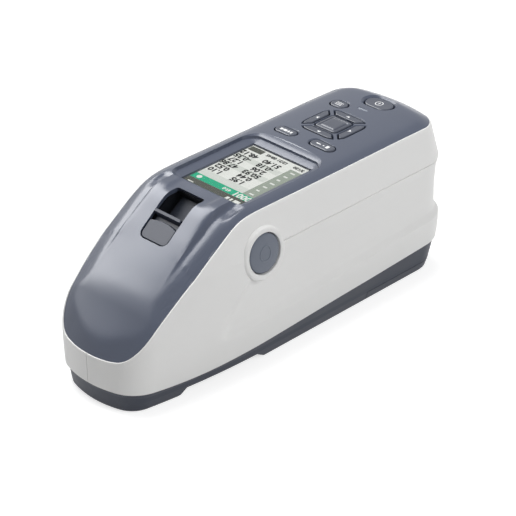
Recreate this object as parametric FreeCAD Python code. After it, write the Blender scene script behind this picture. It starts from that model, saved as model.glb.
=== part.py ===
import FreeCAD, Part
import math
import os

# Handheld colour spectrophotometer, lying on its base as on a bench.
# Millimetres. X is the width, Y the length with the nose at -Y, Z is up.
# The origin is on the rest plane, under the middle of the body.

V = FreeCAD.Vector

# Body outline in plan, at its widest height
LENGTH = 236.0
HALF_WIDTH = 39.2
NOSE_ARC = 60.0
NOSE_CORNER = 20.0
NOSE_CORNER_X = 12.4
TAPER_LENGTH = 94.7
REAR_ARC = 105.0
REAR_CORNER = 20.0

# Top surface: a crowned deck, a slope down to the nose and a steeper tip
DECK_HEIGHT = 91.4
CROWN_RADIUS = 280.0
SLOPE_TOP_FROM_NOSE = 73.8
SLOPE_ANGLE = 35.4
SLOPE_ROUND = 42.0
TIP_FROM_NOSE = 22.1
TIP_ANGLE = 45.8
TIP_ROUND = 60.0

# Flat tongue that stands above the slope and carries the viewer
TONGUE_FROM_NOSE = 68.7
TONGUE_ANGLE = 38.5
TONGUE_ROUND = 20.0
TONGUE_HALF_TOP = 20.3
TONGUE_HALF_LOW = 21.8
TONGUE_LOW_FROM_NOSE = 26.0
TONGUE_FLANK = 0.45
TONGUE_FOOT = 12.0
TONGUE_SINK = 1.3
TONGUE_SECTIONS = 14

# Walls and clearances
WALL = 2.2
COVER_WALL = 2.4
LIP_STEP = 0.9
SEAM_GAP = 0.12
MOVE_GAP = 0.35
LIP_DEPTH = 3.0
LIP_THICKNESS = 1.5
LIP_CLEARANCE = 0.15

# How far the walls lean in at each height: (height, inset, nose further out than the inset)
BASE_LEVELS = ((0.4, 6.9, 2.6), (1.4, 6.0, 2.5), (6.0, 4.6, 1.7), (20.0, 2.6, 1.3))
SHELL_LEVELS = ((8.0, 2.5, 1.6), (13.0, 1.7, 1.2), (24.0, 0.4, 0.2), (29.5, 0.0, 0.0),
                (48.0, 0.25, 0.0), (60.0, 0.45, 0.0), (67.0, 0.8, 0.0), (88.5, 6.3, 0.0))

# Edge between the dark top cover and the pale side covers
EDGE_DECK_DROP = 4.4
EDGE_KNEE_FROM_NOSE = 16.0
EDGE_TIP_ANGLE = 51.0
EDGE_LOW_Z = 28.6
EDGE_SOFT = 3.0
BEVEL_IN = 3.4
BEVEL_RISE = 3.1
BEVEL_NOSE_RISE = 6.4
BEVEL_NOSE_LENGTH = 26.0

# Edge between the pale side covers and the dark base
PARTING_Z = 12.4
PARTING_REAR_Z = 17.4
PARTING_BEND_Y = 0.0

# Grip recess along the sides and round the rear
GRIP_LEVELS = ((28.5, -2.0), (33.5, 1.9), (38.0, 2.8), (50.0, 3.2), (61.5, 3.1), (63.6, 1.3), (69.0, -2.0))
GRIP_TIP_Y = -60.8
GRIP_TIP_Z = 25.3
GRIP_TOP_Y = -20.0
GRIP_TOP_Z = 62.0
GRIP_RUNOUT = 9.0
GRIP_FADE_X = 38.0

# Underside of the base
FOOT_LENGTH = 35.5
FOOT_STEP = 4.0
BELLY_RISE = 4.6
BELLY_END_Y = -32.0
REAR_BASE_Y = -24.5
REST_GAP = 0.4
NOSE_FLOOR = 3.0

# Battery bay
BATTERY_COVER_Y = 52.5
BATTERY_COVER_Z = 5.9
BATTERY_SIZE = (50.0, 48.0, 25.0)
BATTERY_FRONT_Y = 56.0
BATTERY_LIFT = 0.4
HOLDER_WALL = 1.6

# Display pocket and window
SCREEN_SIZE = (41.0, 52.0)
SCREEN_Y = -4.6
SCREEN_DROP = 4.5
POCKET_HALF_WIDTH = 27.4
POCKET_FRONT_Y = -37.5
POCKET_REAR_Y = 32.8
POCKET_REAR_ARC = 75.0
POCKET_FRONT_LEDGE = 3.7
POCKET_STEP_DROP = 2.9
POCKET_LEDGE = 3.2
POCKET_REAR_LEDGE = 5.6
POCKET_CORNER = 6.0
WINDOW_THICKNESS = 1.0
LCD_THICKNESS = 5.3

# Shallow channels from the pocket's front corners to the foot of the tongue
CHANNEL_IN = 21.6
CHANNEL_OUT_TOP = 28.0
CHANNEL_OUT_LOW = 26.4
CHANNEL_LOW_Y = -47.0
CHANNEL_LOW_DROP = 2.2
CHANNEL_WALL = 1.7
CHANNEL_IN_POCKET = 5.3
TUB_WALL = 2.0
TUB_FRONT_IN = 1.4
TUB_REAR_OUT = 0.9

# Viewer in the slope: a slot with a slider over a small window
SLOT_CENTRE_FROM_NOSE = 59.0
SLOT_LENGTH = 33.1
SLOT_HALF_WIDTH = 8.9
VIEWER_ANGLE = 32.3
SLOT_CORNER = 4.0
SLOT_UPPER_CORNER = 1.6
SLIDER_LENGTH = 15.7
SLIDER_TRAVEL = 15.5
SLIDER_FLANGE = 1.4
SLIDER_FLANGE_WIDER = 1.4
PAD_DEPTH = 0.45
RIB_PROUD = 0.85
RIB_LENGTH = 2.0
SCOOP_LENGTH = 5.2
SCOOP_RADIUS = 9.0
SCOOP_DEPTH = 1.9
TRAY_HALF_WIDTH = 11.4
TRAY_WALL = 1.0
TRAY_END_WALL = 1.6
TRAY_DEPTH = 10.0
TRAY_FLOOR = 1.6
VIEW_WINDOW_THICKNESS = 1.2

# Keys on the deck: centre x, centre y, length, width
KEY_PROUD = 0.7
KEY_FLANGE_DROP = 4.8
KEY_FLANGE = 1.0
KEY_FLANGE_WIDER = 0.8
KEY_TRAVEL = 0.6
POWER_KEY = (0.0, 97.0, 17.2, 10.2)
UPPER_KEY = (-14.5, 81.0, 10.4, 7.0)
LEFT_KEY = (-13.1, 38.3, 13.6, 6.4)
RIGHT_KEY = (12.0, 39.3, 15.6, 6.4)
NAV_CENTRE = (0.0, 60.9)
NAV_OUTER = (29.6, 28.4)
NAV_CORNER = 8.5
NAV_FRAME = (18.0, 17.6)
NAV_FRAME_CORNER = 3.0
NAV_CENTRE_SIZE = 15.2
NAV_RIB = 2.4
STATUS_SLIT = (-0.8, 84.8, 6.6, 1.3)
POWER_DISH = 1.2
POWER_DISH_DEPTH = 1.0

# Key board under the deck
KEY_BOARD = (25.0, 28.5, 103.0)
BOARD_THICKNESS = 1.6
DOME_HEIGHT = 0.8
DOME_RADIUS = 2.4
STEM_RADIUS = 1.6

# Measuring buttons on both sides
BUTTON_Y = -32.0
BUTTON_Z = 67.2
BUTTON_RADIUS = 12.0
BUTTON_PROUD = 0.8
BUTTON_DOME = 0.5
BUTTON_RING = 15.6
BUTTON_RING_PROUD = 0.3
BUTTON_BOSS_DEPTH = 7.4
BUTTON_FLANGE = 1.4
BUTTON_FLANGE_WIDER = 1.2
BUTTON_TRAVEL = 1.0

# Chassis plate with two ears that carry the switches
CHASSIS_HALF_WIDTH = 26.0
CHASSIS_FRONT_Y = -68.0
CHASSIS_REAR_Y = 50.0
CHASSIS_Z = 8.5
CHASSIS_THICKNESS = 1.5
EAR_HALF_LENGTH = 11.0
EAR_TOP_Z = 76.0
POST_RADIUS = 3.6
POST_X = 18.0
POST_YS = (-60.0, -6.0, 42.0)
SCREW_RADIUS = 1.25
SCREW_HEAD_RADIUS = 2.6
SCREW_HEAD_HEIGHT = 1.4
SCREW_SINK = 1.8

# Optics in the nose
SPHERE_FROM_NOSE = 24.0
SPHERE_Z = 26.0
SPHERE_RADIUS = 18.5
SPHERE_WALL = 2.0
SPHERE_FLANGE = 2.0
SPECIMEN_PORT = 6.2
PORT_SEAT_Z = 5.0
SEAT_RING_IN = 8.2
SEAT_RING_OUT = 11.4
MASK_RADIUS = 9.6
MASK_THICKNESS = 2.8
MASK_LOW_Z = 0.25
MASK_COLLAR = 5.7
MASK_COLLAR_Z = 6.4
MASK_APERTURE = 3.0
MASK_BEVEL = 1.6
LAMP_RADIUS = 5.0
LAMP_BORE = 3.6
LAMP_REACH = 29.0
LAMP_RISE = 5.0
VIEW_TUBE_RADIUS = 5.8
VIEW_TUBE_BORE = 4.8
RECEIVER_RADIUS = 6.0
RECEIVER_BORE = 4.2
LENS_THICKNESS = 3.0

# Spectrometer box
SPECTRO_FRONT_Y = -62.0
SPECTRO_REAR_Y = -14.0
SPECTRO_HALF_WIDTH = 20.0
SPECTRO_TOP_Z = 40.0
SPECTRO_WALL = 1.8
SPECTRO_LID = 2.0
GRATING_SIZE = (16.0, 4.0, 16.0)
DETECTOR_SIZE = (3.0, 20.0, 8.0)

# Main board and what stands on it
MAIN_BOARD_Z = 48.0
MAIN_BOARD_HALF_WIDTH = 28.0
MAIN_BOARD_FRONT_Y = -14.0
MAIN_BOARD_REAR_Y = 105.0
STANDOFF_RADIUS = 2.75
STANDOFF_X = 20.0
CAPACITOR_RADIUS = 9.0
CAPACITOR_LENGTH = 36.0
CAPACITOR_X = 11.0

# Port panel at the rear
PANEL_HALF_WIDTH = 17.0
PANEL_LOW_Z = 45.5
PANEL_HIGH_Z = 57.5
PANEL_SINK = 4.4
PANEL_THICKNESS = 3.2
USB_SIZE = (9.0, 8.5, 3.3)
USB_X = -7.0
JACK_SIZE = (9.0, 11.0, 7.0)
JACK_X = 8.0
JACK_BORE = 2.9

# Rubber feet
FOOT_PAD_RADIUS = 4.5
FOOT_PAD_DEPTH = 1.0
FOOT_PAD_PLACES = ((21.0, -18.0), (21.0, 34.0))
NOSE_PAD_RADIUS = 3.2
NOSE_PAD_PLACES = ((19.0, -101.0),)

# Values that follow from the sizes above
NOSE_Y = -LENGTH / 2
REAR_Y = LENGTH / 2
TAPER_Y = NOSE_Y + TAPER_LENGTH
SLOPE_TOP_Y = NOSE_Y + SLOPE_TOP_FROM_NOSE
TIP_Y = NOSE_Y + TIP_FROM_NOSE
SLOPE_RISE = math.tan(math.radians(SLOPE_ANGLE))
TIP_RISE = math.tan(math.radians(TIP_ANGLE))
TONGUE_TOP_Y = NOSE_Y + TONGUE_FROM_NOSE
TONGUE_LOW_Y = NOSE_Y + TONGUE_LOW_FROM_NOSE
TONGUE_RISE = math.tan(math.radians(TONGUE_ANGLE))
SPHERE_Y = NOSE_Y + SPHERE_FROM_NOSE
SLOT_Y = NOSE_Y + SLOT_CENTRE_FROM_NOSE
SCREEN_TOP_Z = DECK_HEIGHT - SCREEN_DROP
POCKET_STEP_Z = DECK_HEIGHT - POCKET_STEP_DROP
KEY_TOP = DECK_HEIGHT + KEY_PROUD
KEY_FLANGE_Z = DECK_HEIGHT - KEY_FLANGE_DROP
BUTTON_FACE_X = HALF_WIDTH + BUTTON_PROUD
BUTTON_RING_X = HALF_WIDTH + BUTTON_RING_PROUD
BUTTON_BOSS_X = HALF_WIDTH - BUTTON_BOSS_DEPTH
PANEL_FACE_Y = REAR_Y - PANEL_SINK
FAR = 300.0


def box(x0, x1, y0, y1, z0, z1):
    """Box between two corners."""
    return Part.makeBox(x1 - x0, y1 - y0, z1 - z0, V(x0, y0, z0))


def tube_along(start, direction, radius, length):
    """Solid cylinder from a point along a direction."""
    return Part.makeCylinder(radius, length, start, direction)


def mirrored(shape):
    """The same shape on the other side of the middle plane."""
    return shape.mirror(V(0, 0, 0), V(1, 0, 0))


def fused(shapes):
    """One solid from shapes that overlap or touch."""
    joined = shapes[0].fuse(list(shapes[1:])) if len(shapes) > 1 else shapes[0]
    return joined.removeSplitter()


def arc_edge(centre, radius, start_deg, end_deg, z):
    """Arc in a level plane, from one angle to another through their mean."""
    points = []
    for degrees in (start_deg, (start_deg + end_deg) / 2, end_deg):
        turn = math.radians(degrees)
        points.append(V(centre[0] + radius * math.cos(turn), centre[1] + radius * math.sin(turn), z))
    return Part.Arc(*points).toShape()


def arc_chain(inset, nose_out):
    """Right half of the outline as arcs (centre, radius, start, end) from the nose to the rear."""
    front_centre = (0.0, NOSE_Y + NOSE_ARC - nose_out)
    front_radius = NOSE_ARC - inset
    reach = NOSE_ARC - NOSE_CORNER
    corner = (NOSE_CORNER_X, front_centre[1] - math.sqrt(reach ** 2 - NOSE_CORNER_X ** 2))
    corner_radius = NOSE_CORNER - inset
    side_x = HALF_WIDTH - inset
    across = side_x - corner[0]
    along = TAPER_Y - corner[1]
    taper_radius = (across ** 2 + along ** 2 - corner_radius ** 2) / (2 * (across - corner_radius))
    taper_centre = (side_x - taper_radius, TAPER_Y)
    front_turn = math.degrees(math.atan2(corner[1] - front_centre[1], corner[0]))
    taper_turn = math.degrees(math.atan2(corner[1] - TAPER_Y, corner[0] - taper_centre[0]))
    rear_x = HALF_WIDTH - REAR_CORNER
    rear_reach = REAR_ARC - REAR_CORNER
    rear_centre = (0.0, REAR_Y - REAR_ARC)
    rear_corner = (rear_x, rear_centre[1] + math.sqrt(rear_reach ** 2 - rear_x ** 2))
    rear_turn = math.degrees(math.atan2(rear_corner[1] - rear_centre[1], rear_x))
    return (
        (front_centre, front_radius, -90.0, front_turn),
        (corner, corner_radius, front_turn, taper_turn),
        (taper_centre, taper_radius, taper_turn, 0.0),
        (rear_corner, REAR_CORNER - inset, 0.0, rear_turn),
        (rear_centre, REAR_ARC - inset, rear_turn, 90.0),
    )


def level_wire(z, inset, nose_out=0.0):
    """Closed outline of the body at one height."""
    arcs = arc_chain(inset, nose_out)
    side_x = HALF_WIDTH - inset
    edges = [arc_edge(*arc, z) for arc in arcs[:3]]
    edges.append(Part.LineSegment(V(side_x, TAPER_Y, z), V(side_x, arcs[3][0][1], z)).toShape())
    edges += [arc_edge(*arc, z) for arc in arcs[3:]]
    left = []
    for centre, radius, start, end in reversed(arcs[3:]):
        left.append(arc_edge((-centre[0], centre[1]), radius, 180 - end, 180 - start, z))
    left.append(Part.LineSegment(V(-side_x, arcs[3][0][1], z), V(-side_x, TAPER_Y, z)).toShape())
    for centre, radius, start, end in reversed(arcs[:3]):
        left.append(arc_edge((-centre[0], centre[1]), radius, 180 - end, 180 - start, z))
    return Part.Wire(edges + left)


def tower(levels, extra_inset=0.0):
    """Solid through the body's outlines at several heights."""
    wires = []
    for level in levels:
        nose_out = level[2] if len(level) > 2 else 0.0
        wires.append(level_wire(level[0], level[1] + extra_inset, nose_out))
    return Part.makeLoft(wires, True, True)


def inset_at(z):
    """How far the pale side covers lean in at a height."""
    for low, high in zip(SHELL_LEVELS, SHELL_LEVELS[1:]):
        if z <= high[0]:
            share = (z - low[0]) / (high[0] - low[0])
            return low[1] + share * (high[1] - low[1])
    return SHELL_LEVELS[-1][1]


def extrude_x(points, x0=-FAR / 2, x1=FAR / 2):
    """Prism across the body from a side-view polygon of (y, z) points."""
    corners = [V(x0, y, z) for y, z in points]
    face = Part.Face(Part.makePolygon(corners + corners[:1]))
    return face.extrude(V(x1 - x0, 0, 0))


def plan_prism(points, z0, z1):
    """Upright prism from a plan polygon of (x, y) points."""
    corners = [V(x, y, z0) for x, y in points]
    face = Part.Face(Part.makePolygon(corners + corners[:1]))
    return face.extrude(V(0, 0, z1 - z0))


def rounded_prism(cx, cy, width, length, radius, z0, z1):
    """Upright prism with a rounded rectangle for its plan."""
    block = box(cx - width / 2, cx + width / 2, cy - length / 2, cy + length / 2, z0, z1)
    upright = [edge for edge in block.Edges if abs(edge.Vertexes[0].Z - edge.Vertexes[1].Z) > 1e-6]
    return block.makeFillet(min(radius, width / 2 - 0.01, length / 2 - 0.01), upright)


def rounded_wire(cx, cy, width, length, radius, z):
    """Closed wire of a rounded rectangle in a level plane."""
    prism = rounded_prism(cx, cy, width, length, radius, z, z + 1.0)
    low = [face for face in prism.Faces if abs(face.CenterOfMass.z - z) < 1e-6]
    return low[0].OuterWire


def crown_at(x):
    """Drop of a crowned surface at a distance from the middle."""
    return CROWN_RADIUS - math.sqrt(CROWN_RADIUS ** 2 - x ** 2)


def surface_z(y):
    """Height of the top surface on the middle plane, before its corners are rounded."""
    slope = DECK_HEIGHT + (y - SLOPE_TOP_Y) * SLOPE_RISE
    knee_z = DECK_HEIGHT + (TIP_Y - SLOPE_TOP_Y) * SLOPE_RISE
    tip = knee_z + (y - TIP_Y) * TIP_RISE
    return min(DECK_HEIGHT, slope, tip)


def barrel(y, z, angle_deg, depth):
    """Long lying cylinder whose crown passes through a point at a slope, its seam underneath."""
    cylinder = Part.makeCylinder(CROWN_RADIUS - depth, 2 * FAR)
    cylinder.rotate(V(0, 0, 0), V(0, 1, 0), 90)
    cylinder.rotate(V(0, 0, 0), V(0, 0, 1), 90)
    cylinder.translate(V(0, -FAR, -CROWN_RADIUS))
    cylinder.rotate(V(0, 0, 0), V(1, 0, 0), angle_deg)
    cylinder.translate(V(0, y, z))
    return cylinder


def tongue_height(y):
    """Height of the tongue's flat top, with a round corner where it leaves the deck's level."""
    half_turn = math.radians(TONGUE_ANGLE) / 2
    start = TONGUE_TOP_Y + TONGUE_ROUND * math.tan(half_turn)
    if y >= start:
        return DECK_HEIGHT
    if y <= start - TONGUE_ROUND * math.sin(2 * half_turn):
        return DECK_HEIGHT + (y - TONGUE_TOP_Y) * TONGUE_RISE
    return DECK_HEIGHT - TONGUE_ROUND + math.sqrt(TONGUE_ROUND ** 2 - (start - y) ** 2)


def tongue(depth):
    """The raised tongue as a solid along the slope, or drawn in all round by a depth."""
    sections = []
    span = POCKET_FRONT_Y + CHANNEL_IN_POCKET - TONGUE_LOW_Y
    for step in range(TONGUE_SECTIONS + 1):
        y = TONGUE_LOW_Y + span * step / TONGUE_SECTIONS
        share = (y - TONGUE_LOW_Y) / span
        half = TONGUE_HALF_LOW + (TONGUE_HALF_TOP - TONGUE_HALF_LOW) * share - depth
        sink = depth / math.cos(math.radians(TONGUE_ANGLE)) + TONGUE_SINK * (1 - share) ** 3
        top = tongue_height(y) - sink
        foot = half + TONGUE_FLANK * TONGUE_FOOT
        corners = [V(-half, y, top), V(half, y, top), V(foot, y, top - TONGUE_FOOT),
                   V(-foot, y, top - TONGUE_FOOT)]
        sections.append(Part.makePolygon(corners + corners[:1]))
    return Part.makeLoft(sections, True, False)


def under_surface(depth=0.0):
    """Everything below the top surface with its tongue, or below it by a depth."""
    return under_crown(depth).fuse(tongue(depth)).removeSplitter()


def under_crown(depth):
    """Everything below the crowned deck and slope, or below them by a depth."""
    knee_z = surface_z(TIP_Y)
    lying = barrel(SLOPE_TOP_Y, DECK_HEIGHT, 0.0, depth)
    lying = lying.common(barrel(SLOPE_TOP_Y, DECK_HEIGHT, SLOPE_ANGLE, depth))
    lying = lying.common(barrel(TIP_Y, knee_z, TIP_ANGLE, depth))
    block = box(-HALF_WIDTH, HALF_WIDTH, NOSE_Y - 10, REAR_Y + 10, -10, DECK_HEIGHT + 10)
    solid = lying.common(block)
    for y, radius in ((SLOPE_TOP_Y, SLOPE_ROUND), (TIP_Y, TIP_ROUND)):
        corner = [edge for edge in solid.Edges if is_cross_edge(edge, y, depth)]
        solid = solid.makeFillet(radius - depth, corner)
    return solid


def is_cross_edge(edge, y, depth):
    """True for the edge that crosses the top surface near a place along it."""
    box_of = edge.BoundBox
    wide = box_of.XLength > 1.9 * HALF_WIDTH
    return wide and abs(box_of.Center.y - y) < 4.0 + depth and box_of.ZMin > EDGE_LOW_Z


def surface_line(y):
    """Height of the slope's straight line, carried on past its ends."""
    return DECK_HEIGHT + (y - SLOPE_TOP_Y) * SLOPE_RISE


def smooth_low(first, second, soft):
    """The lower of two heights, with the crossing rounded over a softness."""
    return (first + second - math.sqrt((first - second) ** 2 + soft ** 2)) / 2


def edge_height(y):
    """Height of the edge between the top cover and the side covers."""
    drop = EDGE_DECK_DROP + 0.5
    knee_y = NOSE_Y + EDGE_KNEE_FROM_NOSE
    knee_z = surface_line(knee_y) - drop
    tip = knee_z + (y - knee_y) * math.tan(math.radians(EDGE_TIP_ANGLE))
    slope = smooth_low(surface_line(y) - drop, tip, EDGE_SOFT)
    climb = smooth_low(slope, DECK_HEIGHT - EDGE_DECK_DROP, 2 * EDGE_SOFT)
    return -smooth_low(-climb, -EDGE_LOW_Z, EDGE_SOFT)


def edge_curve(lift):
    """Side view of that edge as one smooth curve from past the nose to past the rear."""
    points = []
    y = NOSE_Y - 12
    while y < REAR_Y + 20:
        points.append(V(0, y, edge_height(y) + lift))
        y += EDGE_SOFT if y < SLOPE_TOP_Y + 30 else 10 * EDGE_SOFT
    curve = Part.BSplineCurve()
    curve.interpolate(points)
    return curve.toShape(), points[0], points[-1]


def below_edge(lift=0.0):
    """Everything below the edge line between top and side covers."""
    curve, first, last = edge_curve(lift)
    low_last, low_first = V(0, last.y, -20), V(0, first.y, -20)
    sides = [Part.LineSegment(last, low_last), Part.LineSegment(low_last, low_first),
             Part.LineSegment(low_first, first)]
    face = Part.Face(Part.Wire([curve] + [side.toShape() for side in sides]))
    face.translate(V(-FAR / 2, 0, 0))
    return face.extrude(V(FAR, 0, 0))


def parting_points(lift=0.0):
    """Side-view points of the edge between the side covers and the base."""
    return [(NOSE_Y - 20, PARTING_Z + lift), (PARTING_BEND_Y, PARTING_Z + lift),
            (REAR_Y + 20, PARTING_REAR_Z + lift)]


def above_parting(lift=0.0):
    """Everything above the edge of the base."""
    return extrude_x(parting_points(lift) + [(REAR_Y + 20, FAR), (NOSE_Y - 20, FAR)])


def below_parting(lift=0.0):
    """Everything below the edge of the base."""
    return extrude_x(parting_points(lift) + [(REAR_Y + 20, -20), (NOSE_Y - 20, -20)])


def loop_points(height_of, inset_of):
    """Points round the body, one list per stretch, at a height and inset that follow y."""
    stretches = []
    arcs = arc_chain(0.0, 0.0)
    for centre, radius, start, end in arcs:
        steps = 10
        stretch = []
        for step in range(steps + 1):
            turn = math.radians(start + (end - start) * step / steps)
            y = centre[1] + radius * math.sin(turn)
            near = radius - inset_of(y)
            x = centre[0] + near * math.cos(turn)
            stretch.append(V(x, centre[1] + near * math.sin(turn), height_of(y)))
        stretches.append(stretch)
    straight = []
    rear_y = arcs[3][0][1]
    for step in range(5):
        y = TAPER_Y + (rear_y - TAPER_Y) * step / 4
        straight.append(V(HALF_WIDTH - inset_of(y), y, height_of(y)))
    stretches.insert(3, straight)
    left = [[V(-p.x, p.y, p.z) for p in reversed(stretch)] for stretch in reversed(stretches)]
    return stretches + left


def loop_wire(height_of, inset_of):
    """Closed wire round the body that climbs with the edge line."""
    edges = []
    for stretch in loop_points(height_of, inset_of):
        curve = Part.BSplineCurve()
        curve.interpolate(stretch)
        edges.append(curve.toShape())
    return Part.Wire(edges)


def nose_share(y):
    """1 at the tip of the nose, falling smoothly to 0 behind it."""
    share = (NOSE_Y + BEVEL_NOSE_LENGTH - y) / BEVEL_NOSE_LENGTH
    share = min(1.0, max(0.0, share))
    return share * share * (3 - 2 * share)


def bevel_tower(extra_inset, drop):
    """Solid whose upper part leans in as the bevel round the top cover does."""
    def inset(y):
        return inset_at(edge_height(y)) + LIP_STEP + extra_inset

    def rise(y):
        return BEVEL_RISE + (BEVEL_NOSE_RISE - BEVEL_RISE) * nose_share(y)

    wires = [
        loop_wire(lambda y: -10.0, inset),
        loop_wire(lambda y: edge_height(y) - drop, inset),
        loop_wire(lambda y: edge_height(y) - drop + 2 * rise(y), lambda y: inset(y) + 2 * BEVEL_IN),
        loop_wire(lambda y: DECK_HEIGHT + 20, lambda y: inset(y) + 2 * BEVEL_IN),
    ]
    return Part.makeLoft(wires, True, True)


def edge_column(extra_inset):
    """Upright column whose plan follows the edge line's own inset, drawn in by more."""
    def inset(y):
        return inset_at(edge_height(y)) + extra_inset

    return Part.makeLoft([loop_wire(lambda y: -10.0, inset), loop_wire(lambda y: 110.0, inset)], True, True)


def slope_frame(shape):
    """Puts a shape from the viewer's own frame (x, up the slope, out of it) in its place."""
    placed = shape.copy()
    placed.rotate(V(0, 0, 0), V(1, 0, 0), VIEWER_ANGLE)
    placed.translate(V(0, SLOT_Y, viewer_height()))
    return placed


def viewer_height():
    """Height of the middle of the straight line between the slot's two ends."""
    reach = SLOT_LENGTH / 2 * math.cos(math.radians(VIEWER_ANGLE))
    rise = SLOT_LENGTH / 2 * math.sin(math.radians(VIEWER_ANGLE))
    return tongue_height(SLOT_Y - reach) + rise


def floor_points(lift):
    """Side-view points of the underside, from nose to rear, raised by a lift."""
    step_y = NOSE_Y + FOOT_LENGTH
    belly = BELLY_RISE + REST_GAP
    return [(NOSE_Y - 20, REST_GAP + lift), (step_y, REST_GAP + lift), (step_y + FOOT_STEP, belly + lift),
            (BELLY_END_Y, belly + lift), (REAR_BASE_Y, REST_GAP + lift), (REAR_Y + 20, REST_GAP + lift)]


def above_floor(lift=0.0):
    """Everything above the underside, or above it by a lift."""
    return extrude_x(floor_points(lift) + [(REAR_Y + 20, FAR), (NOSE_Y - 20, FAR)])


def grip_front(extra_inset):
    """The stretch in front of the grip recess, running out softly towards it."""
    depth = max(level[1] for level in GRIP_LEVELS)

    def corners(shift):
        return [(NOSE_Y - 30, -20), (GRIP_TIP_Y + shift, -20), (GRIP_TIP_Y + shift, GRIP_TIP_Z),
                (GRIP_TOP_Y + shift, GRIP_TOP_Z), (GRIP_TOP_Y + shift, 120), (NOSE_Y - 30, 120)]

    def outline(x):
        points = corners((GRIP_FADE_X - x) * GRIP_RUNOUT / depth)
        return Part.makePolygon([V(x - extra_inset, y, z) for y, z in points + points[:1]])

    inner_x = HALF_WIDTH - depth - WALL
    right = Part.makeLoft([outline(inner_x), outline(HALF_WIDTH + WALL + 1)], True, True)
    middle = extrude_x(corners(0.0), -inner_x + extra_inset, inner_x - extra_inset)
    return right, mirrored(right), middle


def side_body(extra_inset):
    """Pale body with its grip recess, full height, or shrunk by a wall."""
    body = tower(SHELL_LEVELS, extra_inset)
    waist = tower(GRIP_LEVELS, extra_inset)
    right, left, middle = grip_front(extra_inset)
    low = box(-FAR / 2, FAR / 2, -FAR / 2, FAR / 2, -20, GRIP_LEVELS[0][0])
    high = box(-FAR / 2, FAR / 2, -FAR / 2, FAR / 2, GRIP_LEVELS[-1][0], 120)
    kept = [body.common(waist), body.common(low), body.common(high),
            body.common(right), body.common(left), body.common(middle)]
    return fused(kept)


def button_cylinder(radius, x0, x1):
    """Solid cylinder on the right-hand button's axis."""
    return tube_along(V(x0, BUTTON_Y, BUTTON_Z), V(1, 0, 0), radius, x1 - x0)


def side_covers():
    """Left and right pale covers, parted on the middle plane."""
    outer = side_body(0.0)
    inner = side_body(WALL)
    shell = outer.cut(inner)
    shell = shell.common(below_edge()).common(above_parting())
    boss = button_cylinder(BUTTON_RING, BUTTON_BOSS_X, BUTTON_RING_X)
    rim = [edge for edge in boss.Edges if edge.BoundBox.XMin > BUTTON_RING_X - 0.01]
    boss = boss.makeFillet(1.2, rim)
    bore = button_cylinder(BUTTON_RADIUS + MOVE_GAP, BUTTON_BOSS_X - 1, BUTTON_RING_X + 1)
    panel_hole = box(-PANEL_HALF_WIDTH - SEAM_GAP, PANEL_HALF_WIDTH + SEAM_GAP, REAR_Y - 20, REAR_Y + 5,
                     PANEL_LOW_Z - SEAM_GAP, PANEL_HIGH_Z + SEAM_GAP)
    half = box(SEAM_GAP / 2, FAR / 2, -FAR / 2, FAR / 2, -10, 120)
    right = shell.common(half).fuse(boss).cut(bore).cut(panel_hole).removeSplitter()
    return right, mirrored(right)


def key_plan(key, z0, z1, wider=0.0):
    """Prism with the rounded plan of one key, wider all round by a margin."""
    cx, cy, length, width = key
    return rounded_prism(cx, cy, length + 2 * wider, width + 2 * wider, width / 2 + wider, z0, z1)


def nav_square(width, length, radius, z0, z1):
    """Rounded square prism on the centre of the four-way pad."""
    return rounded_prism(NAV_CENTRE[0], NAV_CENTRE[1], width, length, radius, z0, z1)


def nav_ribs(wider, z0, z1):
    """Two crossed bars along the diagonals of the four-way pad."""
    bars = []
    for turn in (45, -45):
        bar = box(-NAV_OUTER[0], NAV_OUTER[0], -NAV_RIB / 2 - wider, NAV_RIB / 2 + wider, z0, z1)
        bar.rotate(V(0, 0, 0), V(0, 0, 1), turn)
        bar.translate(V(NAV_CENTRE[0], NAV_CENTRE[1], 0))
        bars.append(bar)
    return bars[0].fuse(bars[1])


def nav_ring(gap, z0, z1):
    """The ring of the four-way pad, parted by the ribs, drawn in by a gap."""
    ring = nav_square(NAV_OUTER[0] - 2 * gap, NAV_OUTER[1] - 2 * gap, NAV_CORNER - gap, z0, z1)
    frame = nav_square(NAV_FRAME[0] + 2 * gap, NAV_FRAME[1] + 2 * gap, NAV_FRAME_CORNER + gap, z0, z1)
    return ring.cut(frame).cut(nav_ribs(gap, z0, z1))


def key_openings():
    """Everything that is cut out of the deck for keys and the status light."""
    low, high = KEY_FLANGE_Z - 4, DECK_HEIGHT + 4
    cuts = [key_plan(key, low, high, MOVE_GAP) for key in (POWER_KEY, UPPER_KEY, LEFT_KEY, RIGHT_KEY)]
    cuts.append(nav_ring(0.0, low, high))
    cuts.append(nav_square(NAV_CENTRE_SIZE, NAV_CENTRE_SIZE, 2.0, low, high))
    cuts.append(key_plan(STATUS_SLIT, low, high, SEAM_GAP))
    dish_z = DECK_HEIGHT - POWER_DISH_DEPTH
    dish = Part.makeLoft([
        rounded_wire(POWER_KEY[0], POWER_KEY[1], POWER_KEY[2] + 2 * POWER_DISH, POWER_KEY[3] + 2 * POWER_DISH,
                     POWER_KEY[3] / 2 + POWER_DISH, dish_z),
        rounded_wire(POWER_KEY[0], POWER_KEY[1], POWER_KEY[2] + 6 * POWER_DISH, POWER_KEY[3] + 4 * POWER_DISH,
                     POWER_KEY[3] / 2 + 2 * POWER_DISH, dish_z + 2 * POWER_DISH_DEPTH)], True, True)
    cuts.append(dish)
    return cuts


def screen_prism(wider, z0, z1):
    """Upright prism with the screen's plan, wider all round by a margin."""
    return box(-SCREEN_SIZE[0] / 2 - wider, SCREEN_SIZE[0] / 2 + wider, SCREEN_Y - SCREEN_SIZE[1] / 2 - wider,
               SCREEN_Y + SCREEN_SIZE[1] / 2 + wider, z0, z1)


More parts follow.
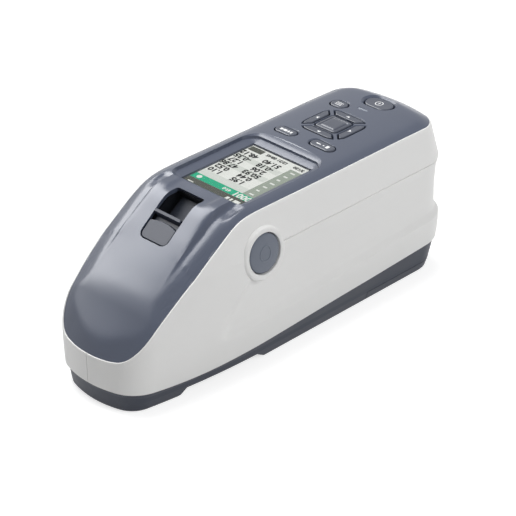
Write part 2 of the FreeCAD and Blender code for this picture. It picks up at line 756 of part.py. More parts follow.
def inner_front_y():
    """Where the inner pocket starts at its nose end."""
    return POCKET_FRONT_Y + POCKET_FRONT_LEDGE


def pocket_cuts():
    """The stepped pocket round the screen."""
    length = POCKET_REAR_Y - POCKET_FRONT_Y
    middle = (POCKET_REAR_Y + POCKET_FRONT_Y) / 2
    inner_rear = POCKET_REAR_Y - POCKET_REAR_LEDGE
    inner_front = inner_front_y()
    inner_length = inner_rear - inner_front
    inner_middle = (inner_rear + inner_front) / 2
    inner_width = 2 * (POCKET_HALF_WIDTH - POCKET_LEDGE)
    dish = Part.makeLoft([
        rounded_wire(0, inner_middle, inner_width, inner_length, POCKET_CORNER, POCKET_STEP_Z),
        rounded_wire(0, middle, 2 * POCKET_HALF_WIDTH, length, POCKET_CORNER, DECK_HEIGHT + 0.2)], True, True)
    arc_centre = V(0, POCKET_REAR_Y - POCKET_REAR_ARC, POCKET_STEP_Z - 1)
    dish = dish.common(tube_along(arc_centre, V(0, 0, 1), POCKET_REAR_ARC, 10))
    well = rounded_prism(0, inner_middle, inner_width, inner_length, POCKET_CORNER, SCREEN_TOP_Z,
                         POCKET_STEP_Z + 0.1)
    opening = screen_prism(MOVE_GAP, SCREEN_TOP_Z - 20, SCREEN_TOP_Z + 1)
    return [dish, well, opening]


def channel(side, top_y, deeper, wider):
    """Shallow channel from the pocket's front corner to the slope, or its backing."""
    plan = plan_prism([(CHANNEL_IN - wider, top_y), (CHANNEL_OUT_TOP + wider, top_y),
                       (CHANNEL_OUT_LOW + wider, CHANNEL_LOW_Y), (CHANNEL_IN - wider, CHANNEL_LOW_Y)],
                      0, 120)
    low_z = surface_line(CHANNEL_LOW_Y) - CHANNEL_LOW_DROP - deeper
    profile = extrude_x([(CHANNEL_LOW_Y, low_z), (POCKET_FRONT_Y, POCKET_STEP_Z - deeper),
                         (top_y, POCKET_STEP_Z - deeper), (top_y, 120), (CHANNEL_LOW_Y, 120)])
    cutter = plan.common(profile)
    return cutter if side > 0 else mirrored(cutter)


def slot_plan(half_width, start, end, margin, n0, n1):
    """Prism with well rounded lower corners and tighter upper ones, drawn in by a margin."""
    block = box(-half_width, half_width, start, end, n0, n1)
    for y, radius in ((start, SLOT_CORNER), (end, SLOT_UPPER_CORNER)):
        corners = [edge for edge in block.Edges
                   if edge.BoundBox.ZLength > 0.5 * (n1 - n0) and abs(edge.BoundBox.Center.y - y) < 0.01]
        block = block.makeFillet(radius - margin, corners)
    return block


def board_posts():
    """Posts under the deck that carry the key board."""
    board_top = key_board_top()
    posts = []
    for x in (-KEY_BOARD[0] + 4, KEY_BOARD[0] - 4):
        for y in (KEY_BOARD[1] + 4, KEY_BOARD[2] - 10):
            posts.append(tube_along(V(x, y, board_top), V(0, 0, 1), 2.5, DECK_HEIGHT - 2 - board_top))
    return posts


def key_board_top():
    """Height of the key board's upper face, so that a pressed key just clears its dome."""
    stem_low = KEY_FLANGE_Z - 1.7
    return stem_low - KEY_TRAVEL - 0.1 - DOME_HEIGHT


def top_cover(outer, inner):
    """Dark cover with its deck, slope, pocket, channels and key openings."""
    body = bevel_tower(0.0, 0.0).common(outer)
    hollow = bevel_tower(WALL, 1.6).common(inner)
    above = box(-FAR / 2, FAR / 2, -FAR / 2, FAR / 2, -20, 120).cut(below_edge())
    shell = body.cut(hollow).common(above)
    lip_in = WALL + LIP_CLEARANCE
    lip = edge_column(lip_in).cut(edge_column(lip_in + LIP_THICKNESS))
    lip = lip.common(below_edge(1.2)).cut(below_edge(-LIP_DEPTH)).common(outer)
    tub_front = POCKET_FRONT_Y + TUB_FRONT_IN
    tub_half = POCKET_HALF_WIDTH + TUB_WALL
    tub = box(-tub_half, tub_half, tub_front, POCKET_REAR_Y + TUB_REAR_OUT, SCREEN_TOP_Z - COVER_WALL,
              DECK_HEIGHT)
    backing = [channel(side, tub_front + 1.0, COVER_WALL, CHANNEL_WALL) for side in (1, -1)]
    inside = bevel_tower(1.0, 0.0).common(under_surface(1.0))
    backing = [piece.common(inside) for piece in backing + [tub] + board_posts()]
    cover = fused([shell, lip] + backing)
    channel_top = inner_front_y() + CHANNEL_IN_POCKET
    channels = [channel(side, channel_top, 0.0, 0.0) for side in (1, -1)]
    for cut in pocket_cuts() + channels + key_openings():
        cover = cover.cut(cut)
    slot = slot_plan(SLOT_HALF_WIDTH, -SLOT_LENGTH / 2, SLOT_LENGTH / 2, 0.0, -TRAY_DEPTH - 4, 10)
    cover = cover.cut(slope_frame(slot))
    return cover.removeSplitter()


def base_bodies():
    """Base cover and battery cover, and the underside features they share."""
    body = tower(BASE_LEVELS).common(below_parting()).common(above_floor())
    hollow = tower(BASE_LEVELS, WALL).common(above_floor(WALL))
    nose_floor = box(-HALF_WIDTH, HALF_WIDTH, NOSE_Y, NOSE_Y + FOOT_LENGTH, -1, REST_GAP + NOSE_FLOOR)
    hollow = hollow.cut(nose_floor)
    shelf = tower(BASE_LEVELS, 0.5).common(
        box(-HALF_WIDTH, HALF_WIDTH, BATTERY_COVER_Y - HOLDER_WALL, REAR_Y, BATTERY_COVER_Z + 0.3,
            BATTERY_COVER_Z + 0.3 + WALL))
    base = body.cut(hollow).fuse(shelf)
    cover_zone = box(-HALF_WIDTH, HALF_WIDTH, BATTERY_COVER_Y, REAR_Y + 5, -1, BATTERY_COVER_Z)
    gap_zone = box(-HALF_WIDTH, HALF_WIDTH, BATTERY_COVER_Y - 0.3, REAR_Y + 5, -1, BATTERY_COVER_Z + 0.3)
    battery_cover = body.common(cover_zone).cut(tower(BASE_LEVELS, WALL).common(
        box(-HALF_WIDTH, HALF_WIDTH, BATTERY_COVER_Y - 1, REAR_Y, REST_GAP + WALL, BATTERY_COVER_Z + 5)))
    base = base.cut(gap_zone)
    bay = box(-BATTERY_SIZE[0] / 2 - 0.5, BATTERY_SIZE[0] / 2 + 0.5, BATTERY_FRONT_Y - 0.5,
              BATTERY_FRONT_Y + BATTERY_SIZE[1] + 0.5, 0, FAR)
    base = base.cut(bay.common(box(-FAR, FAR, -FAR, FAR, 0, 40)))
    extras = []
    for y in POST_YS:
        for side in (1, -1):
            extras.append(tube_along(V(side * POST_X, y, floor_height(y)), V(0, 0, 1), POST_RADIUS,
                                     CHASSIS_Z - floor_height(y)))
    seat = tube_along(V(0, SPHERE_Y, REST_GAP), V(0, 0, 1), SEAT_RING_OUT, PORT_SEAT_Z - REST_GAP)
    base = fused([base] + extras + [seat])
    cuts = [tube_along(V(0, SPHERE_Y, -1), V(0, 0, 1), MASK_RADIUS + 0.3, REST_GAP + NOSE_FLOOR + 1),
            tube_along(V(0, SPHERE_Y, -1), V(0, 0, 1), SEAT_RING_IN, PORT_SEAT_Z + 2)]
    for y in POST_YS:
        for side in (1, -1):
            low = floor_height(y)
            cuts.append(tube_along(V(side * POST_X, y, low), V(0, 0, 1), SCREW_RADIUS, CHASSIS_Z))
            cuts.append(tube_along(V(side * POST_X, y, low - 1), V(0, 0, 1), SCREW_HEAD_RADIUS + 0.4,
                                   SCREW_SINK + 1))
    for x, y, radius in pad_places():
        cuts.append(tube_along(V(x, y, 0), V(0, 0, 1), radius, REST_GAP + FOOT_PAD_DEPTH))
    for cut in cuts:
        base = base.cut(cut)
    return base.removeSplitter(), battery_cover.removeSplitter()


def floor_height(y):
    """Height of the underside at a place along the body."""
    points = floor_points(0.0)
    for low, high in zip(points, points[1:]):
        if y <= high[0]:
            share = (y - low[0]) / (high[0] - low[0])
            return low[1] + share * (high[1] - low[1])
    return points[-1][1]


def pad_places():
    """Centre and radius of each rubber foot."""
    places = []
    for x, y in FOOT_PAD_PLACES:
        places += [(x, y, FOOT_PAD_RADIUS), (-x, y, FOOT_PAD_RADIUS)]
    for x, y in NOSE_PAD_PLACES:
        places += [(x, y, NOSE_PAD_RADIUS), (-x, y, NOSE_PAD_RADIUS)]
    return places


def rubber_feet():
    """Round pads set into the underside, down to the rest plane."""
    return Part.makeCompound([tube_along(V(x, y, 0), V(0, 0, 1), radius, REST_GAP + FOOT_PAD_DEPTH)
                              for x, y, radius in pad_places()])


def case_screws():
    """Screws up through the base posts into the chassis."""
    screws = []
    for y in POST_YS:
        for side in (1, -1):
            low = floor_height(y) + SCREW_SINK
            place = V(side * POST_X, y, low)
            head = tube_along(place - V(0, 0, SCREW_HEAD_HEIGHT), V(0, 0, 1), SCREW_HEAD_RADIUS,
                              SCREW_HEAD_HEIGHT)
            shank = tube_along(place, V(0, 0, 1), SCREW_RADIUS, CHASSIS_Z + CHASSIS_THICKNESS - low)
            screws.append(head.fuse(shank))
    return Part.makeCompound(screws)


def softened(shape, radius, chosen):
    """Shape with the chosen edges rounded."""
    edges = [edge for edge in shape.Edges if chosen(edge)]
    return shape.makeFillet(radius, edges)


def top_edge(z):
    """Test for the edges that lie at a height."""
    return lambda edge: edge.BoundBox.ZMin > z - 0.01


def stem(cx, cy):
    """Round stem under a key, down to just above its dome."""
    low = KEY_FLANGE_Z - 1.7
    return tube_along(V(cx, cy, low), V(0, 0, 1), STEM_RADIUS, KEY_FLANGE_Z + 0.5 - low)


def plain_key(key, top=KEY_TOP, round_top=0.8):
    """Cap, retaining flange and stem of one deck key."""
    cap = softened(key_plan(key, KEY_FLANGE_Z, top), round_top, top_edge(top))
    flange = key_plan(key, KEY_FLANGE_Z, KEY_FLANGE_Z + KEY_FLANGE, KEY_FLANGE_WIDER)
    return fused([cap, flange, stem(key[0], key[1])])


def nav_keys():
    """Four arrow keys and the centre key of the four-way pad."""
    span = NAV_OUTER[0]
    keys = {}
    directions = {"nav_up_key": (0, 1), "nav_down_key": (0, -1), "nav_left_key": (-1, 0),
                  "nav_right_key": (1, 0)}
    cx, cy = NAV_CENTRE
    for name, (dx, dy) in directions.items():
        sector = plan_prism([(cx, cy), (cx + span * (dx - dy), cy + span * (dy + dx)),
                             (cx + span * (dx + dy), cy + span * (dy - dx))], 0, 120)
        cap = nav_ring(MOVE_GAP, KEY_FLANGE_Z, KEY_TOP).common(sector)
        cap = softened(cap, 0.5, top_edge(KEY_TOP))
        flange = nav_ring(-0.3, KEY_FLANGE_Z, KEY_FLANGE_Z + KEY_FLANGE).common(sector)
        reach = (NAV_OUTER[0] + NAV_FRAME[0]) / 4
        keys[name] = fused([cap, flange, stem(cx + dx * reach, cy + dy * reach)])
    side = NAV_CENTRE_SIZE - 2 * MOVE_GAP
    cap = softened(nav_square(side, side, 2.0 - MOVE_GAP, KEY_FLANGE_Z, KEY_TOP), 0.8, top_edge(KEY_TOP))
    flange = nav_square(side + 1.2, side + 1.2, 2.0, KEY_FLANGE_Z, KEY_FLANGE_Z + KEY_FLANGE)
    keys["nav_centre_key"] = fused([cap, flange, stem(cx, cy)])
    return keys


def key_places():
    """Centre of every key's stem."""
    cx, cy = NAV_CENTRE
    reach = (NAV_OUTER[0] + NAV_FRAME[0]) / 4
    places = [(key[0], key[1]) for key in (POWER_KEY, UPPER_KEY, LEFT_KEY, RIGHT_KEY)]
    return places + [(cx, cy), (cx + reach, cy), (cx - reach, cy), (cx, cy + reach), (cx, cy - reach)]


def key_board_parts():
    """Key board, its snap domes and the status light's pipe."""
    top = key_board_top()
    board = box(-KEY_BOARD[0], KEY_BOARD[0], KEY_BOARD[1], KEY_BOARD[2], top - BOARD_THICKNESS, top)
    domes = []
    for x, y in key_places():
        dome = Part.makeCone(DOME_RADIUS, DOME_RADIUS * 0.6, DOME_HEIGHT, V(x, y, top), V(0, 0, 1))
        domes.append(dome)
    pipe = key_plan(STATUS_SLIT, top, DECK_HEIGHT - crown_at(STATUS_SLIT[0]) - 0.05)
    return board, Part.makeCompound(domes), pipe


def measure_button():
    """Round button on the right side, with its flange."""
    face_x = BUTTON_FACE_X
    cap = button_cylinder(BUTTON_RADIUS, BUTTON_BOSS_X - MOVE_GAP - BUTTON_FLANGE, face_x)
    cap = softened(cap, 0.8, lambda edge: edge.BoundBox.XMin > face_x - 0.01)
    flange_x = BUTTON_BOSS_X - MOVE_GAP
    flange = button_cylinder(BUTTON_RADIUS + BUTTON_FLANGE_WIDER, flange_x - BUTTON_FLANGE, flange_x)
    mark = button_cylinder(5.6, face_x - 1, face_x + BUTTON_DOME).cut(
        button_cylinder(4.6, face_x - 2, face_x + 2))
    hollow = button_cylinder(BUTTON_RADIUS - 2, flange_x - BUTTON_FLANGE + 1.2, face_x - 2)
    return fused([cap, flange, mark]).cut(hollow)


def button_switch():
    """Small push switch on the chassis ear behind the right-hand button."""
    plunger_x = BUTTON_BOSS_X - MOVE_GAP - BUTTON_FLANGE - BUTTON_TRAVEL - 0.1
    body = box(CHASSIS_HALF_WIDTH, plunger_x - 0.7, BUTTON_Y - 3, BUTTON_Y + 3, BUTTON_Z - 3, BUTTON_Z + 3)
    plunger = button_cylinder(1.7, CHASSIS_HALF_WIDTH + 0.5, plunger_x)
    return fused([body, plunger])


def chassis():
    """Plate on the base posts, with two ears that stand behind the buttons."""
    top = CHASSIS_Z + CHASSIS_THICKNESS
    plate = box(-CHASSIS_HALF_WIDTH, CHASSIS_HALF_WIDTH, CHASSIS_FRONT_Y, CHASSIS_REAR_Y, CHASSIS_Z, top)
    ears = []
    for side in (1, -1):
        near, far = sorted((side * (CHASSIS_HALF_WIDTH - CHASSIS_THICKNESS), side * CHASSIS_HALF_WIDTH))
        ears.append(box(near, far, BUTTON_Y - EAR_HALF_LENGTH, BUTTON_Y + EAR_HALF_LENGTH, CHASSIS_Z,
                        EAR_TOP_Z))
    solid = fused([plate] + ears)
    for y in POST_YS:
        for side in (1, -1):
            solid = solid.cut(tube_along(V(side * POST_X, y, CHASSIS_Z - 1), V(0, 0, 1), SCREW_RADIUS, 5))
    return solid


def view_line():
    """Start at the specimen and direction of the line of sight to the viewer's window."""
    start = V(0, SPHERE_Y, PORT_SEAT_Z)
    probe = slope_frame(Part.Vertex(V(0, SLOT_LENGTH / 4, -TRAY_DEPTH)))
    end = probe.Point
    direction = end - start
    return start, direction.normalize(), (end - start).Length


def optics():
    """Sphere halves, lamps, viewer tube, receiving tube and lens, and the target mask."""
    centre = V(0, SPHERE_Y, SPHERE_Z)
    ball = Part.makeSphere(SPHERE_RADIUS, centre)
    hollow = Part.makeSphere(SPHERE_RADIUS - SPHERE_WALL, centre)
    start, direction, reach = view_line()
    sight = tube_along(start, direction, VIEW_TUBE_BORE, reach)
    lamp_z = SPHERE_Z + LAMP_RISE
    lamp_axis = tube_along(V(-FAR / 2, SPHERE_Y, lamp_z), V(1, 0, 0), LAMP_BORE, FAR)
    receive = tube_along(V(0, SPHERE_Y, SPHERE_Z), V(0, 1, 0), RECEIVER_BORE, SPECTRO_FRONT_Y - SPHERE_Y)
    flange = tube_along(V(0, SPHERE_Y, PORT_SEAT_Z), V(0, 0, 1), SEAT_RING_OUT, SPHERE_FLANGE)
    collar = tube_along(V(0, SPHERE_Y, PORT_SEAT_Z), V(0, 0, 1), SPECIMEN_PORT + 3, SPHERE_FLANGE + 2)
    port = tube_along(V(0, SPHERE_Y, 0), V(0, 0, 1), SPECIMEN_PORT, SPHERE_Z)
    rim = tube_along(V(0, SPHERE_Y, SPHERE_Z - 1.5), V(0, 0, 1), SPHERE_RADIUS + 1.6, 3.0)
    shell = fused([ball, flange, collar, rim]).cut(hollow).cut(port)
    shell = shell.cut(sight).cut(lamp_axis).cut(receive)
    low_half = box(-FAR, FAR, -FAR, FAR, 0, SPHERE_Z)
    high_half = box(-FAR, FAR, -FAR, FAR, SPHERE_Z, 100)
    parts = {"sphere_lower": shell.common(low_half), "sphere_upper": shell.common(high_half)}
    outside = fused([ball, rim])
    view = tube_along(start, direction, VIEW_TUBE_RADIUS, reach).cut(sight).cut(outside)
    view = view.cut(box(-FAR, FAR, -FAR, FAR, -10, SPHERE_Z))
    tray_block = slope_frame(box(-40, 40, -60, 60, -TRAY_DEPTH, 40))
    parts["viewer_tube"] = view.cut(tray_block)
    lamp = tube_along(V(0, SPHERE_Y, lamp_z), V(1, 0, 0), LAMP_RADIUS, LAMP_REACH).cut(outside)
    lamp = lamp.cut(tube_along(V(0, SPHERE_Y, lamp_z), V(1, 0, 0), LAMP_BORE, LAMP_REACH - 2.5))
    bulb = tube_along(V(SPHERE_RADIUS - 1.0, SPHERE_Y, lamp_z), V(1, 0, 0), 1.6,
                      LAMP_REACH - SPHERE_RADIUS - 1.0)
    parts["flash_lamp_right"] = fused([lamp, bulb])
    parts["flash_lamp_left"] = mirrored(parts["flash_lamp_right"])
    tube = tube_along(V(0, SPHERE_Y, SPHERE_Z), V(0, 1, 0), RECEIVER_RADIUS, SPECTRO_FRONT_Y - SPHERE_Y)
    sight_space = tube_along(start, direction, VIEW_TUBE_RADIUS, reach)
    parts["receiving_tube"] = tube.cut(outside).cut(receive).cut(sight_space)
    lens_y = SPECTRO_FRONT_Y - 2 - LENS_THICKNESS
    lens = tube_along(V(0, lens_y, SPHERE_Z), V(0, 1, 0), RECEIVER_BORE, LENS_THICKNESS)
    parts["receiving_lens"] = softened(lens, 1.0, lambda edge: edge.BoundBox.YLength < 0.01)
    parts["target_mask"] = target_mask()
    return parts


def target_mask():
    """Round plate under the nose with the measuring aperture."""
    up = V(0, 0, 1)
    foot = V(0, SPHERE_Y, MASK_LOW_Z)
    plate = tube_along(foot, up, MASK_RADIUS, MASK_THICKNESS)
    collar = tube_along(foot, up, MASK_COLLAR, MASK_COLLAR_Z - MASK_LOW_Z)
    mask = fused([plate, collar])
    mask = mask.cut(tube_along(foot, up, MASK_APERTURE, MASK_COLLAR_Z))
    mask = mask.cut(Part.makeCone(MASK_APERTURE, MASK_COLLAR - 1.0, MASK_COLLAR_Z - MASK_LOW_Z - 1.0,
                                  foot + V(0, 0, 1.0), up))
    lower = Part.makeCone(MASK_APERTURE + MASK_BEVEL, MASK_APERTURE, MASK_BEVEL / 2, foot, up)
    return mask.cut(lower)


def viewer():
    """Tray, window and slider of the viewer."""
    half = SLOT_LENGTH / 2
    tray = box(-TRAY_HALF_WIDTH, TRAY_HALF_WIDTH, -half - 0.5 - TRAY_END_WALL, half + 0.5 + TRAY_END_WALL,
               -TRAY_DEPTH, 4)
    cavity = box(-TRAY_HALF_WIDTH + TRAY_WALL, TRAY_HALF_WIDTH - TRAY_WALL, -half - 0.5, half + 0.5,
                 -TRAY_DEPTH + TRAY_FLOOR, 6)
    look = box(-VIEW_TUBE_BORE, VIEW_TUBE_BORE, half / 2 - VIEW_TUBE_BORE - 1, half / 2 + VIEW_TUBE_BORE + 1,
               -TRAY_DEPTH - 2, 0)
    tray = slope_frame(tray.cut(cavity).cut(look)).common(under_surface(COVER_WALL))
    window_low = -TRAY_DEPTH + TRAY_FLOOR
    window_top = window_low + VIEW_WINDOW_THICKNESS
    window = slope_frame(box(-SLOT_HALF_WIDTH, SLOT_HALF_WIDTH, 0, half, window_low, window_top))
    return tray, window, slope_frame(slider(window_top + 0.25))


def slider(low):
    """Sliding cover in the viewer's frame: flange, pad with a thumb scoop, and a rib at its upper end."""
    start = -SLOT_LENGTH / 2 + MOVE_GAP
    end = start + SLIDER_LENGTH
    side = SLOT_HALF_WIDTH - MOVE_GAP
    flange_half = side + SLIDER_FLANGE_WIDER
    flange = box(-flange_half, flange_half, start, end, low, low + SLIDER_FLANGE)
    rise = math.tan(math.radians(TONGUE_ANGLE - VIEWER_ANGLE))

    def over(first, last, out):
        """Wedge above the line of the tongue's surface between two places, moved out by a height."""
        low_n = (first + SLOT_LENGTH / 2) * rise + out
        high_n = (last + SLOT_LENGTH / 2) * rise + out
        return extrude_x([(first, low_n), (last, high_n), (last, 40), (first, 40)])

    rib_y = end - RIB_LENGTH
    block = slot_plan(side, start, end, MOVE_GAP, low, 12)
    block = block.cut(over(rib_y, end + 1, RIB_PROUD)).cut(over(start - 1, rib_y, -PAD_DEPTH))
    scoop_y = end - SCOOP_LENGTH
    scoop_n = (scoop_y + SLOT_LENGTH / 2) * rise - PAD_DEPTH + SCOOP_RADIUS - SCOOP_DEPTH
    scoop = tube_along(V(-side - 1, scoop_y, scoop_n), V(1, 0, 0), SCOOP_RADIUS, 2 * side + 2)
    rib = box(-side - 2, side + 2, rib_y, end + 1, -20, 40)
    return fused([block.cut(scoop.cut(rib)), flange])


def spectrometer():
    """Closed optical box behind the sphere, with its grating and its detector."""
    low = CHASSIS_Z + CHASSIS_THICKNESS
    case = box(-SPECTRO_HALF_WIDTH, SPECTRO_HALF_WIDTH, SPECTRO_FRONT_Y, SPECTRO_REAR_Y, low, SPECTRO_TOP_Z)
    inside = box(-SPECTRO_HALF_WIDTH + SPECTRO_WALL, SPECTRO_HALF_WIDTH - SPECTRO_WALL,
                 SPECTRO_FRONT_Y + SPECTRO_WALL, SPECTRO_REAR_Y - SPECTRO_WALL, low + SPECTRO_WALL,
                 SPECTRO_TOP_Z + 1)
    entry = tube_along(V(0, SPECTRO_FRONT_Y - 1, SPHERE_Z), V(0, 1, 0), RECEIVER_BORE - 1, 5)
    case = case.cut(inside).cut(entry)
    lid = box(-SPECTRO_HALF_WIDTH, SPECTRO_HALF_WIDTH, SPECTRO_FRONT_Y, SPECTRO_REAR_Y, SPECTRO_TOP_Z,
              SPECTRO_TOP_Z + SPECTRO_LID)
    width, thick, tall = GRATING_SIZE
    rear = SPECTRO_REAR_Y - SPECTRO_WALL
    grating = box(-width / 2, width / 2, rear - thick, rear, SPHERE_Z - tall / 2, SPHERE_Z + tall / 2)
    thick, long, tall = DETECTOR_SIZE
    wall_x = SPECTRO_HALF_WIDTH - SPECTRO_WALL
    middle = (SPECTRO_FRONT_Y + SPECTRO_REAR_Y) / 2
    detector = box(wall_x - thick, wall_x, middle - long / 2, middle + long / 2, SPHERE_Z - tall / 2,
                   SPHERE_Z + tall / 2)
    return {"spectrometer_case": case, "spectrometer_lid": lid, "diffraction_grating": grating,
            "detector_array": detector}


def battery_parts():
    """Battery pack, the holder over it and its spring contacts."""
    width, length, height = BATTERY_SIZE
    low = REST_GAP + WALL + BATTERY_LIFT
    front = BATTERY_FRONT_Y
    pack = box(-width / 2, width / 2, front, front + length, low, low + height)
    pack = softened(pack, 2.0, lambda edge: edge.BoundBox.YLength > 1 and edge.BoundBox.XLength < 0.01
                    and edge.BoundBox.ZLength < 0.01)
    shelf_top = BATTERY_COVER_Z + 0.3 + WALL
    roof_low = low + height
    outer = box(-width / 2 - 0.5 - HOLDER_WALL, width / 2 + 0.5 + HOLDER_WALL, front - 1.6 - HOLDER_WALL,
                front + length + 0.5 + HOLDER_WALL, shelf_top, roof_low + HOLDER_WALL)
    inner = box(-width / 2 - 0.5, width / 2 + 0.5, front - 1.6, front + length + 0.5, 0, roof_low)
    holder = outer.cut(inner)
    contacts = []
    for x in (-12.0, 0.0, 12.0):
        contacts.append(box(x - 2, x + 2, front - 1.6, front, shelf_top + 2, shelf_top + 8))
    return pack, holder, Part.makeCompound(contacts)


def main_board_parts():
    """Main board with its standoffs, flash capacitors, chips, connectors and ribbon."""
    low, top = MAIN_BOARD_Z, MAIN_BOARD_Z + BOARD_THICKNESS
    half = MAIN_BOARD_HALF_WIDTH
    board = box(-half, half, MAIN_BOARD_FRONT_Y, MAIN_BOARD_REAR_Y, low, top)
    chassis_top = CHASSIS_Z + CHASSIS_THICKNESS
    roof_top = REST_GAP + WALL + BATTERY_LIFT + BATTERY_SIZE[2] + HOLDER_WALL
    standoffs = []
    for y, foot in ((MAIN_BOARD_FRONT_Y + 6, chassis_top), (CHASSIS_REAR_Y - 6, chassis_top),
                    (BATTERY_FRONT_Y + BATTERY_SIZE[1] - 10, roof_top)):
        for side in (1, -1):
            place = V(side * STANDOFF_X, y, foot)
            standoffs.append(tube_along(place, V(0, 0, 1), STANDOFF_RADIUS, low - foot))
    capacitors = []
    for side in (1, -1):
        start = V(side * CAPACITOR_X, 4.0, chassis_top + CAPACITOR_RADIUS)
        body = tube_along(start, V(0, 1, 0), CAPACITOR_RADIUS, CAPACITOR_LENGTH)
        capacitors.append(softened(body, 0.8, lambda edge: edge.BoundBox.YLength < 0.01))
    chips = [box(-9, 9, 10, 28, top, top + 1.6), box(-20, -12, 36, 48, top, top + 1.2),
             box(10, 22, 34, 44, top, top + 1.2), tube_along(V(18, 66, top), V(0, 0, 1), 6.0, 5.0)]
    ribbon_y = 70.0
    board_low = key_board_top() - BOARD_THICKNESS
    plugs = [box(-8, 8, ribbon_y, ribbon_y + 4, top, top + 3),
             box(-8, 8, ribbon_y, ribbon_y + 4, board_low - 3, board_low)]
    ribbon = box(-6, 6, ribbon_y - 0.3, ribbon_y, top + 1, board_low - 1)
    return {"main_board": board, "board_standoffs": Part.makeCompound(standoffs),
            "flash_capacitors": Part.makeCompound(capacitors), "board_components": Part.makeCompound(chips),
            "ribbon_connectors": Part.makeCompound(plugs), "ribbon_cable": ribbon}


def port_parts():
    """Rear panel with a data port and a power jack that stand on the main board."""
    top = MAIN_BOARD_Z + BOARD_THICKNESS
    panel = box(-PANEL_HALF_WIDTH, PANEL_HALF_WIDTH, PANEL_FACE_Y - PANEL_THICKNESS, PANEL_FACE_Y,
                PANEL_LOW_Z, PANEL_HIGH_Z)
    panel = softened(panel, 1.0, lambda edge: edge.BoundBox.YLength > 1)
    flange = box(-PANEL_HALF_WIDTH + 4, PANEL_HALF_WIDTH - 4, PANEL_FACE_Y - PANEL_THICKNESS - 2.4,
                 PANEL_FACE_Y - PANEL_THICKNESS, PANEL_LOW_Z, MAIN_BOARD_Z)
    width, deep, tall = USB_SIZE
    usb = box(USB_X - width / 2, USB_X + width / 2, PANEL_FACE_Y - deep, PANEL_FACE_Y - 0.4, top, top + tall)
    usb_space = box(USB_X - width / 2, USB_X + width / 2, PANEL_FACE_Y - deep, PANEL_FACE_Y + 1, top,
                    top + tall)
    mouth = box(USB_X - width / 2 + 0.4, USB_X + width / 2 - 0.4, PANEL_FACE_Y - deep + 1, PANEL_FACE_Y,
                top + 0.4, top + tall - 0.4)
    blade = box(USB_X - width / 2 + 1.4, USB_X + width / 2 - 1.4, PANEL_FACE_Y - deep + 0.5,
                PANEL_FACE_Y - 1.6, top + tall / 2 - 0.35, top + tall / 2 + 0.35)
    width, deep, tall = JACK_SIZE
    jack_low = top
    jack = box(JACK_X - width / 2, JACK_X + width / 2, PANEL_FACE_Y - deep, PANEL_FACE_Y - 0.6, jack_low,
               jack_low + tall)
    jack_space = box(JACK_X - width / 2, JACK_X + width / 2, PANEL_FACE_Y - deep, PANEL_FACE_Y + 1, jack_low,
                     jack_low + tall)
    centre = V(JACK_X, PANEL_FACE_Y - deep + 2, jack_low + tall / 2)
    jack = jack.cut(tube_along(centre, V(0, 1, 0), JACK_BORE, deep))
    pin = tube_along(centre - V(0, 0.5, 0), V(0, 1, 0), 0.8, deep - 3)
    board_space = box(-MAIN_BOARD_HALF_WIDTH, MAIN_BOARD_HALF_WIDTH, 0, MAIN_BOARD_REAR_Y, MAIN_BOARD_Z, top)
    panel = fused([panel, flange]).cut(usb_space).cut(jack_space).cut(board_space)
    return {"port_panel": panel, "usb_port": fused([usb.cut(mouth), blade]),
            "power_jack": fused([jack, pin])}


def display_parts():
    """Window, display module and the frame that carries it under the pocket."""
    window_low = SCREEN_TOP_Z - WINDOW_THICKNESS
    window = screen_prism(MOVE_GAP - 0.15, window_low, SCREEN_TOP_Z)
    module_low = window_low - LCD_THICKNESS
    module = screen_prism(0.0, module_low, window_low)
    frame = screen_prism(3.0, module_low - 2.0, SCREEN_TOP_Z - COVER_WALL)
    frame = frame.cut(screen_prism(0.1, module_low, SCREEN_TOP_Z))
    frame = frame.cut(screen_prism(-6.0, module_low - 3.0, SCREEN_TOP_Z))
    return {"display_window": window, "lcd_module": module, "lcd_frame": frame}


def build():
    """Every node's shape by name."""
    nodes = {}
    nodes["side_cover_right"], nodes["side_cover_left"] = side_covers()
    nodes["top_cover"] = top_cover(under_surface(), under_surface(COVER_WALL))
    nodes["base_cover"], nodes["battery_cover"] = base_bodies()
    nodes["rubber_feet"] = rubber_feet()
    nodes["case_screws"] = case_screws()
    nodes["power_key"] = plain_key(POWER_KEY, KEY_TOP - POWER_DISH_DEPTH + 0.2)
    nodes["upper_key"] = plain_key(UPPER_KEY)
    nodes["left_key"] = plain_key(LEFT_KEY)
    nodes["right_key"] = plain_key(RIGHT_KEY)
    nodes.update(nav_keys())
    nodes["key_board"], nodes["key_domes"], nodes["status_light"] = key_board_parts()
    nodes["measure_button_right"] = measure_button()
    nodes["measure_button_left"] = mirrored(nodes["measure_button_right"])
    nodes["button_switch_right"] = button_switch()
    nodes["button_switch_left"] = mirrored(nodes["button_switch_right"])
    nodes["chassis"] = chassis()
    nodes.update(optics())
    nodes["viewer_tray"], nodes["viewer_window"], nodes["viewer_slider"] = viewer()
    nodes.update(spectrometer())
    nodes["battery_pack"], nodes["battery_holder"], nodes["battery_contacts"] = battery_parts()
    nodes.update(main_board_parts())
    nodes.update(port_parts())
    nodes.update(display_parts())
    return nodes


def write(nodes):
    """Writes one file per node and prints what it holds."""
    os.makedirs("parts", exist_ok=True)
    for name, shape in nodes.items():
        shape.exportStep("parts/" + name + ".step")
        extent = shape.BoundBox
        print("%-22s solids %d  valid %s  volume %.0f  x %.1f %.1f  y %.1f %.1f  z %.1f %.1f" % (
            name, len(shape.Solids), shape.isValid(), shape.Volume, extent.XMin, extent.XMax, extent.YMin,
            extent.YMax, extent.ZMin, extent.ZMax))


write(build())
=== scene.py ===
"""Looks of a handheld colour spectrophotometer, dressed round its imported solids.

Lengths are millimetres until a mesh is made, then metres. X is the width, Y the
length with the nose at -Y, Z is up, and the body rests on the plane Z = 0.
"""

